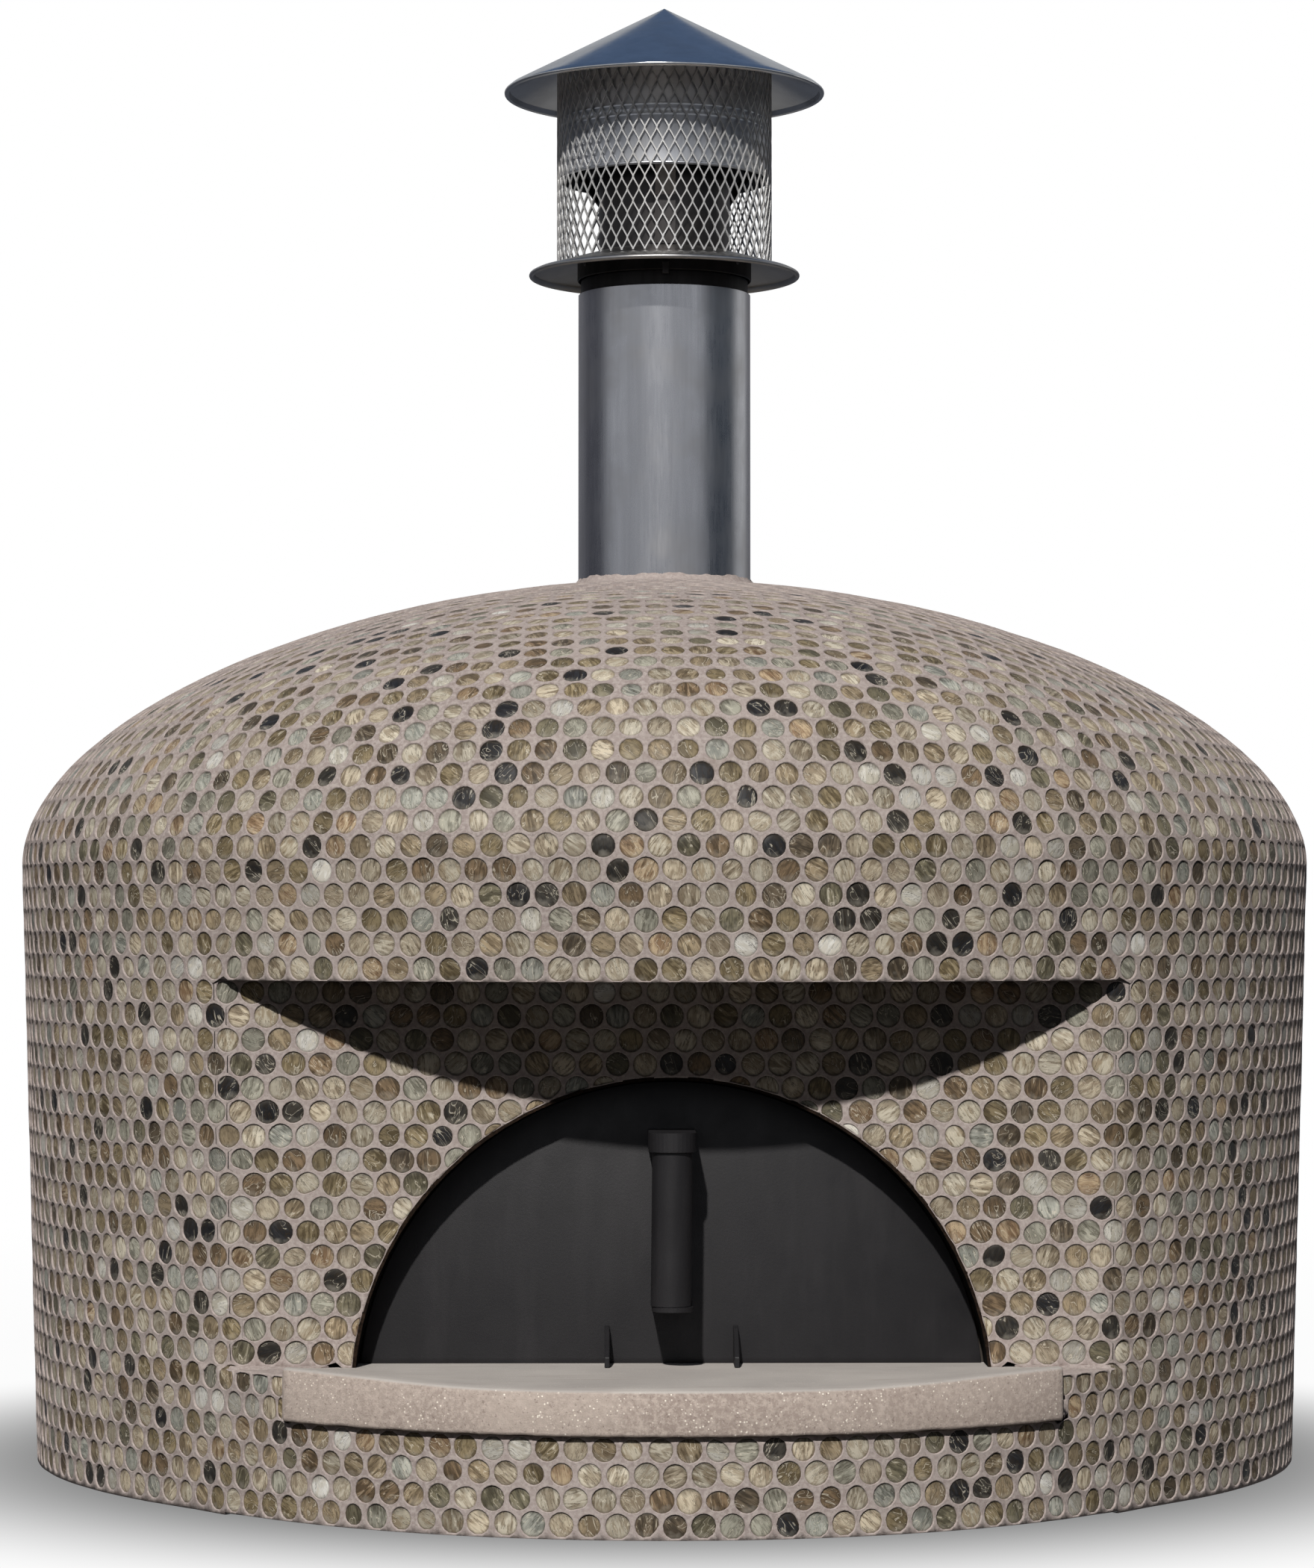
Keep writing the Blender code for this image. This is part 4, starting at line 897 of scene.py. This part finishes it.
def add_cell(zone, centre, normal, neighbours, grout, tiles):
    """One tile in its bed: a patch of grout out to the halfway lines, and the tile itself."""
    right, up = tangents(normal)
    lines = limits_of(zone, centre, right, up)
    bed = bed_of(centre, right, up, neighbours, lines)
    area, middle = area_and_middle(bed)
    if area < SMALLEST_BED:
        return
    outline = tile_outline()
    full, _ = area_and_middle(outline)
    for a, b, c in lines:
        outline = clipped(outline, a, b, c - CUT_JOINT * math.hypot(a, b))
    left, spot = area_and_middle(outline) if len(outline) > 2 else (0, middle)
    whole_enough = left > LEAST_SHARE * full
    if whole_enough:
        middle = spot
    bed = [(u - middle[0], v - middle[1]) for u, v in bed]
    rim = np.array([(u0 + (u1 - u0) * share, v0 + (v1 - v0) * share)
                    for (u0, v0), (u1, v1) in zip(bed, bed[1:] + bed[:1])
                    for share in (0, 1 / 3, 2 / 3)])
    far = np.linalg.norm(rim, axis=1)
    good = far > 1e-7
    rim, far = rim[good], far[good]
    directions = rim / far[:, None]
    origin = centre + middle[0] * right + middle[1] * up

    def lay(distance, depth):
        flat = origin + np.outer(directions[:, 0] * distance, right) \
            + np.outer(directions[:, 1] * distance, up)
        spots, normals = PROJECT[zone](flat)
        return spots + normals * depth[:, None]

    base_spots, base_normals = PROJECT[zone](
        origin + np.outer(rim[:, 0], right) + np.outer(rim[:, 1], up))
    level = grout_level(base_spots)
    outer = base_spots + base_normals * level[:, None]
    if whole_enough:
        outline = [(u - middle[0], v - middle[1]) for u, v in outline]
        edge = np.minimum(reach_along(outline, directions), far - 0.0003)
        edge = np.maximum(edge, 0.0015)
        floor = float(level.mean()) - rng.uniform(*SINK)
        tilt = edge * (directions @ rng.normal(0, TIP, 2))
        lip = [lay(edge + np.minimum(reach, share * (far - edge)), level + height)
               for reach, share, height in GROUT_LIP]
        grout.rings([outer, *lip, lay(edge - OVERLAP, floor - 0.0004 + tilt)])
        crown = lay(0 * edge, np.full(len(edge), floor + TILE_CROWN))[0]
        tiles.rings([lay(share * edge + more, floor + height + share * tilt)
                     for share, more, height in TILE_RINGS], crown)
        shares = [share for share, _, _ in TILE_RINGS]
        # share of the radius, which the glass material turns into painted shade near the tile's
        # edge
        tiles.extra["rim"].append(np.append(np.repeat(shares, len(edge)), 0.0))
        local = [directions * (share * edge)[:, None] for share in shares]
        paint(tiles, np.concatenate([*local, np.zeros((1, 2))]))
    else:
        heart, heart_normal = PROJECT[zone](origin[None])
        grout.rings([outer], (heart + heart_normal * grout_level(heart)[:, None])[0])
    for a, b, c in lines:
        on_edge = np.abs(rim @ (a, b) + a * middle[0] + b * middle[1] - c) < 2e-6
        for i in range(len(rim)):
            j = (i + 1) % len(rim)
            if on_edge[i] and on_edge[j]:
                pair = outer[[i, j]]
                grout.strip(pair, pair - base_normals[[i, j]] * EDGE_DEPTH)


GROUPS = {"low": ("wall", 1, ("mosaic_wall", "mosaic_apron")),
          "middle": ("facet", 2, ("mosaic_facet",)),
          "dome": ("dome", 5, ("mosaic_dome",)), "soffit": ("soffit", 1, ("mosaic_soffit",))}


def make_mosaic():
    everything = []
    for zone, points in zone_sites().items():
        spots, normals = PROJECT[zone](points + rng.normal(0, STRAY, points.shape))
        everything += [(zone, s, m) for s, m in zip(spots, normals)]
    tree = KDTree(len(everything))
    for index, (zone, spot, _) in enumerate(everything):
        tree.insert(spot, index)
    tree.balance()
    for zone, (label, parts, nodes) in GROUPS.items():
        own = [e for e in everything if e[0] == zone]
        own.sort(key=lambda e: math.atan2(e[1][0], -e[1][1]))
        share = math.ceil(len(own) / parts)
        for part in range(parts):
            grout, tiles = Batch(), Batch()
            for _, centre, normal in own[part * share:(part + 1) * share]:
                near = [np.array(hit[0]) for hit in tree.find_range(centre, NEIGHBOUR_REACH)
                        if (everything[hit[1]][0] == "soffit") == (zone == "soffit")]
                add_cell(zone, centre, normal, near, grout, tiles)
            name = f"{label}_{part + 1}" if parts > 1 else label
            new_object(f"grout_{name}", grout.mesh(f"grout_{name}", 0.00006), GROUT,
                       slot="mosaic", replaces=nodes if part == 0 else ())
            new_object(f"tiles_{name}", tiles.mesh(f"tiles_{name}"), GLASS, slot="mosaic")


make_mosaic()

# ---------------------------------------------------------------- landing shelf
SHELF_RAISED = 0.0062         # how far the top's front edge curls up towards the shelf's ends
SHELF_LEVEL_Y = -0.425        # behind this line the top is level
SHOULDER_BACK_Z = 0.3         # the shoulders reach back to the wall's outline at this height


def shelf_section(x, tuck):
    """The shelf's outline across at x, drawn in by tuck at its very ends."""
    soft = 0.0028
    rough = 0.0007 * (math.sin(41 * x) + math.sin(97 * x + 1) + math.sin(223 * x + 2)) / 3
    raised = SHELF_RAISED * float(smoothstep(abs(x), 0.13, 0.30))
    front = -(SHELF_CENTRE + math.sqrt(SHELF_RADIUS ** 2 - x * x)) + tuck + 0.0004 + rough / 2
    low, high = shelf_low.z + abs(rough) + tuck, shelf_high.z - tuck
    top, back = high + raised, shelf_high.y
    points = [(back, low), (front + soft * 0.8, low), (front + soft * 0.2, low + soft * 0.3),
              (front, low + soft), (front, top - soft), (front + soft * 0.3, top - soft * 0.3),
              (front + soft, top)]
    for share in (0.15, 0.4, 0.7):
        y = front + soft + (SHELF_LEVEL_Y - front - soft) * share
        points.append((y, high + raised * (1 - float(smoothstep(share, 0.0, 1.0)))))
    return [(x, y, z) for y, z in points + [(SHELF_LEVEL_Y, high), (back, high)]]


def make_shelf():
    """The cast stone shelf: a curved front, soft arrises, thicker towards its ends, with a
    ragged lower edge."""
    half = shelf_high.x
    xs = np.concatenate([[-half, -half + 0.0006], np.linspace(-half + 0.002, half - 0.002, 181),
                         [half - 0.0006, half]])
    tucks = np.interp(half - np.abs(xs), [0, 0.0006, 0.002], [0.002, 0.0008, 0.0])
    sections = [shelf_section(x, tuck) for x, tuck in zip(xs, tucks)]
    mesh = mesh_of("shelf_slab", sum(sections, []), loft_faces(len(sections[0]), len(xs)), 50)
    new_object("shelf_slab", mesh, STONE, slot="shelf_stone", replaces=("landing_shelf",))


def make_apron_core():
    """The render under the shelf, between the drum and the apron's tiles."""
    half, wall = shelf_high.x - 0.002, BASE_RADIUS - 0.002
    ahead = APRON_RADIUS - 0.007
    xs = np.linspace(-half, half, 81)
    outline = [(x, -(SHELF_CENTRE + math.sqrt(ahead ** 2 - x * x))) for x in xs]
    outline += [(x, -math.sqrt(wall ** 2 - x * x)) for x in xs[::-1]]
    prism("apron_render", outline, apron_low.z, shelf_low.z - 0.001, RENDER,
          slot="render_shell", replaces=("apron_core",))


def shoulder_section(turn, far, near):
    """The mortar's outline as (radius, z) points, from radius near to radius far."""
    low, deep = shelf_low.z - 0.003, far - 0.0045
    profile = [(near, low), (deep, low), (deep, LEDGE_Z - 0.0040), (far, LEDGE_Z - 0.0012),
               (far - 0.0010, LEDGE_Z)]
    for share in (0.2, 0.4, 0.6, 0.8, 1.0):
        wave = 0.0005 * math.sin(90 * turn + 7 * share) * share
        rise = 0.0025 * float(smoothstep(share, 0.5, 1.0))
        profile.append((far + (near - far) * share, LEDGE_Z + rise + wave))
    return profile


def make_shoulders():
    """Mortar beside the shelf's ends: it backs the tiles there and tops the ledge."""
    swings = np.linspace(0.45, 0.65, 400)
    reach = front_radius(swings, np.full(400, shelf_low.z - 0.001)) * np.sin(swings)
    count = 33
    turns = np.linspace(np.interp(shelf_high.x + 0.0010, reach, swings), 0.68, count)
    outer = front_radius(turns, np.full(count, shelf_low.z - 0.001)) - 0.0014
    inner = front_radius(turns, np.full(count, SHOULDER_BACK_Z)) - 0.0030
    for side, label in ((-1, "left"), (1, "right")):
        sections = [[(side * r * math.sin(turn), -r * math.cos(turn), z)
                     for r, z in shoulder_section(turn, far, near)]
                    for turn, far, near in zip(turns, outer, inner)]
        faces = [face[::side] for face in loft_faces(len(sections[0]), count)]
        mesh = mesh_of(f"shoulder_{label}", sum(sections, []), faces, 60)
        new_object(f"shoulder_{label}", mesh, GROUT, slot="mosaic")


make_shelf()
make_shoulders()
make_apron_core()

# ---------------------------------------------------------------- door


def arc(radius, centre, start, stop, steps):
    return [(centre[0] + radius * math.cos(start + (stop - start) * i / steps),
             centre[1] + radius * math.sin(start + (stop - start) * i / steps))
            for i in range(steps + 1)]


def dress(node, material):
    """Gives a CAD node that stays its material."""
    thing = CAD[node]
    thing.data.materials.clear()
    thing.data.materials.append(material)
    thing.data.polygons.foreach_set("material_index", [0] * len(thing.data.polygons))


def make_door():
    start = math.asin((door_low.z - MOUTH_Z) / DOOR_RADIUS)
    outline = arc(DOOR_RADIUS, (0, MOUTH_Z), start, math.pi - start, 160)
    prism("door_panel", outline, door_low.y, door_high.y, COAT, plane="xz", edge=0.0007,
          body="door", slot="black_steel", replaces=("door_plate",))
    for node in ("handle_top_bracket", "handle_low_bracket", "door_foot_left",
                 "door_foot_right"):
        dress(node, COAT)
    tube("handle_pipe", "handle_tube", HANDLE_RADIUS, COAT, 64, wall=0.002,
         centre=(-0.0006, HANDLE_Y), lean=HANDLE_LEAN, body="door", slot="black_steel")


make_door()

# ---------------------------------------------------------------- flue and cap
ROLL = 0.0022
CONE_RIM_Z = cone_low.z + 2 * ROLL
CONE_SLOPE = (cone_high.z - CONE_RIM_Z) / cone_high.x
TIP_RADIUS = 0.0004
flange_low, flange_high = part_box("cap_flange")
FLANGE_INNER, FLANGE_SLOPE = 0.0593, math.tan(math.radians(16))
FLANGE_RIM_Z = flange_high.z - (flange_high.x - FLANGE_INNER) * FLANGE_SLOPE


def cone_z(radius):
    """Height of the rain cone, whose very tip is blunt."""
    return cone_high.z - (CONE_SLOPE * radius if radius > TIP_RADIUS else 0)


def flange_z(radius):
    return FLANGE_RIM_Z + (flange_high.x - radius) * FLANGE_SLOPE


def rolled_rim(rim, top, roll, start, stop, steps=10):
    """Points round a rolled edge whose outside is at radius rim."""
    return arc(roll, (rim - roll, top), math.radians(start), math.radians(stop), steps)


def make_flue():
    low, high, r = pipe_low.z, pipe_high.z, PIPE_RADIUS
    revolved("pipe_skin", [(r, low), (r, high - 0.0004), (r - 0.0004, high), (r - 0.0008, high),
                           (r - 0.0008, low)], PIPE_STEEL, 160, slot="stainless",
             replaces=("flue_pipe",))
    tube("neck_band", "flue_neck", NECK_RADIUS, SHADED_COLLAR_STEEL, 160, slot="stainless")
    low, high = (corner.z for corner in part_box("cap_collar"))
    r = COLLAR_RADIUS
    revolved("collar_band", [(r - 0.0006, low), (r, low + 0.0008), (r, high - 0.0008),
                             (r - 0.0006, high), (r - SHEET, high), (r - SHEET, low)],
             SHADED_COLLAR_STEEL, 160, slot="stainless", replaces=("cap_collar",))


def rimmed_cone(name, inner, rim, rim_z, height_at, start, wall, material, node):
    """A shallow sheet cone from radius inner out to a rolled rim."""
    fold = rim - 2 * ROLL
    profile = [(inner, height_at(inner)), (fold, height_at(fold))]
    profile += rolled_rim(rim, rim_z - ROLL, ROLL, start, -140)
    profile += [(fold - 0.0006, height_at(fold) - wall - 0.0002),
                (inner, height_at(inner) - wall)]
    revolved(name, profile, material, 192, slot="stainless", replaces=(node,))


def make_cap():
    rimmed_cone("flange_cone", FLANGE_INNER, flange_high.x, FLANGE_RIM_Z, flange_z, 70, SHEET,
                CAP_STEEL, "cap_flange")
    rimmed_cone("rain_hat", TIP_RADIUS, cone_high.x, CONE_RIM_Z, cone_z, 60, 0.0012,
                HAT_STEEL, "rain_cone")
    low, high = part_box("wind_band")
    r = BAND_RADIUS
    profile = [(r, high.z)]
    for ridge in (low.z + 0.053, low.z + 0.044):
        profile += [(r, ridge + 0.003), (r + 0.0009, ridge + 0.0012), (r + 0.0012, ridge),
                    (r + 0.0009, ridge - 0.0012), (r, ridge - 0.003)]
    profile += rolled_rim(r + 0.0015, low.z + 0.0015, 0.0015, 80, -120, 6)
    profile += [(r - SHEET, low.z), (r - SHEET, high.z)]
    revolved("band_ring", profile, BAND_STEEL, 160, slot="stainless", replaces=("wind_band",))
    tube("outlet_pipe", "outlet_tube", OUTLET_RADIUS, DARK_STEEL, 128, slot="stainless")


def make_screen():
    """Expanded metal: two hands of slanting strands that share a bond at each crossing."""
    low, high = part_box("spark_screen")
    around, half_mesh = 57, 0.0215 / 2
    strand, thick, apart = 0.00065, 0.0006, 0.0002
    section = ((thick, -strand), (thick, strand), (-thick, strand), (-thick, -strand))
    bond, bend = 0.10, 0.16
    points, faces = [], []
    for row in range(math.ceil((high.z - low.z) / half_mesh)):
        z0 = low.z + row * half_mesh
        tall = min(half_mesh, high.z - z0)
        for index in range(around):
            for hand in (0.5, -0.5):
                first = index + (0.5 if row % 2 else 0)
                path = [(first, z0), (first + hand * bond, z0 + bend * tall),
                        (first + hand * (1 - bond), z0 + (1 - bend) * tall),
                        (first + hand, z0 + tall)]
                start = len(points)
                for turn, z in path:
                    for out, slide in section:
                        r = SCREEN_RADIUS + out + math.copysign(apart, hand)
                        angle = turn * 2 * math.pi / around + slide / SCREEN_RADIUS
                        points.append((r * math.cos(angle), r * math.sin(angle), z))
                faces += [[start + corner for corner in face[::-1]]
                          for face in loft_faces(len(section), len(path))]
    new_object("screen_mesh", mesh_of("screen_mesh", points, faces), MESH_STEEL,
               slot="stainless", replaces=("spark_screen",))


def make_foot_ring():
    """The ragged fillet of grout round the foot of the pipe."""
    r = PIPE_RADIUS

    def dome_z(radius):
        return float(np.interp(-radius, -MERIDIAN[:, 0], MERIDIAN[:, 1]))

    profile = [(r + 0.0001, dome_z(r) - 0.004), (r + 0.0001, dome_z(r) + 0.0045),
               (r + 0.0012, dome_z(r) + 0.0030), (r + 0.0034, dome_z(r + 0.0034) + 0.0010),
               (r + 0.0070, dome_z(r + 0.0070) - 0.0006), (r + 0.0070, dome_z(r) - 0.004)]
    ring = revolved("pipe_grout", profile, GROUT, 160, slot="mosaic")
    for vertex in ring.data.vertices:
        turn = math.atan2(vertex.co.y, vertex.co.x)
        wave = 0.4 * math.sin(7 * turn) + 0.35 * math.sin(17 * turn + 1) \
            + 0.25 * math.sin(41 * turn + 2)
        if vertex.co.z > dome_z(r):
            vertex.co.z += 0.0016 * wave


make_flue()
make_foot_ring()
make_cap()
make_screen()

# ---------------------------------------------------------------- CAD nodes that stay
STAYING = {
    CONCRETE: ["base_slab"], BOARD: ["insulation_board"],
    RENDER: ["wall_shell", "dome_shell"],
    BLANKET: ["ceramic_blanket", "flue_insulation"], FILL: ["insulation_fill"],
    SEAL: ["mouth_seal"], SOOTED: ["mouth_arch"],
    ROPE: ["flue_rope_seal"], IRON: ["flue_spigot"], FRAME_STEEL: ["arch_frame"],
    CASTABLE: [n for n in CAD if n.startswith("dome_segment")],
    FIREBRICK: [n for n in CAD if n.startswith("floor_tile")],
    DARK_STEEL: ["flue_liner", "collar_clip"] + [n for n in CAD if n.startswith("collar_rivet")]
    + [n for n in CAD if n.startswith("cap_strap")],
}
for material, names in STAYING.items():
    for name in names:
        dress(name, material)

# ---------------------------------------------------------------- studio
bpy.ops.mesh.primitive_circle_add(vertices=96, radius=8.0, fill_type="NGON")
floor = bpy.context.object
floor.name = "studio_floor"
floor.data.materials.append(floor_material())

SUN_WAY = 0.168, 1.0, -0.83   # the way that sunlight travels: low, from the front
sun_data = bpy.data.lights.new("sun", "SUN")
sun_data.energy = 3.65
sun_data.angle = math.radians(1.6)
sun_data.color = (1.0, 0.975, 0.94)
sun = bpy.data.objects.new("sun", sun_data)
sun.rotation_euler = Vector(SUN_WAY).to_track_quat("-Z", "Y").to_euler()
bpy.context.scene.collection.objects.link(sun)


def make_world():
    """White to the camera. Shine comes from a navy sky over a pale haze and a skyline with dark
    stretches to the left, the right and behind. Diffuse light gets a faint fill, stronger from
    behind."""
    world = bpy.data.worlds.new("studio")
    bpy.context.scene.world = world
    world.use_nodes = True
    world.node_tree.nodes.clear()
    n = Nodes(world.node_tree)
    way = n.add("ShaderNodeTexCoord").outputs["Generated"]
    height = n.add("ShaderNodeSeparateXYZ", {0: way}).outputs["Z"]
    path = n.add("ShaderNodeLightPath").outputs

    def above(low, high, under, over):
        """One colour under the height low, turning into another above the height high."""
        return n.mix(n.ramp(height, low, high, smooth=True), under, over)

    def towards(x, y, low, high, rest, there):
        """A colour of its own towards a compass direction, within the cosines low and high."""
        near = n.add("ShaderNodeVectorMath", {0: way, 1: (x, y, 0.0)}, operation="DOT_PRODUCT")
        return n.mix(n.ramp(near.outputs["Value"], low, high, smooth=True), rest, there)

    band = towards(0.995, -0.10, 0.85, 0.90, (0.80, 0.81, 0.84), (0.05, 0.068, 0.09))
    band = towards(-0.87, 0.50, 0.74, 0.90, band, (0.10, 0.10, 0.12))
    band = towards(0.0, 1.0, 0.50, 0.80, band, (0.22, 0.22, 0.24))
    band = towards(0.85, 0.53, 0.94, 0.97, band, (0.95, 0.95, 0.95))
    skyline = above(0.02, 0.08, (0.075, 0.082, 0.10), band)
    haze = above(0.20, 0.28, skyline, (0.44, 0.46, 0.49))
    sky = above(0.585, 0.62, haze, (0.09, 0.14, 0.245))
    fill = above(0.0, 0.6, (0.006, 0.0065, 0.008), (0.018, 0.026, 0.042))
    fill = towards(0.0, 1.0, 0.30, 0.85, fill, (0.44, 0.44, 0.46))
    around = n.mix(path["Is Diffuse Ray"], sky, fill)
    seen = n.mix(path["Is Camera Ray"], around, (1, 1, 1))
    light = n.add("ShaderNodeBackground", {"Color": seen, "Strength": 1.0})
    n.add("ShaderNodeOutputWorld", {"Surface": light.outputs[0]})


make_world()

CAMERA_PLACE = -0.054, -3.880, 0.470
CAMERA_TILT, CAMERA_TURN = math.radians(1.827), math.radians(0.70)    # upwards and to the right
camera_data = bpy.data.cameras.new("camera")
camera_data.sensor_width = 36
camera_data.lens = 99.428571
camera_data.clip_end = 60
camera = bpy.data.objects.new("camera", camera_data)
camera.location = CAMERA_PLACE
camera.rotation_euler = (math.radians(90) + CAMERA_TILT, 0, -CAMERA_TURN)
bpy.context.scene.collection.objects.link(camera)
bpy.context.scene.camera = camera
bpy.context.scene.view_settings.view_transform = "Standard"
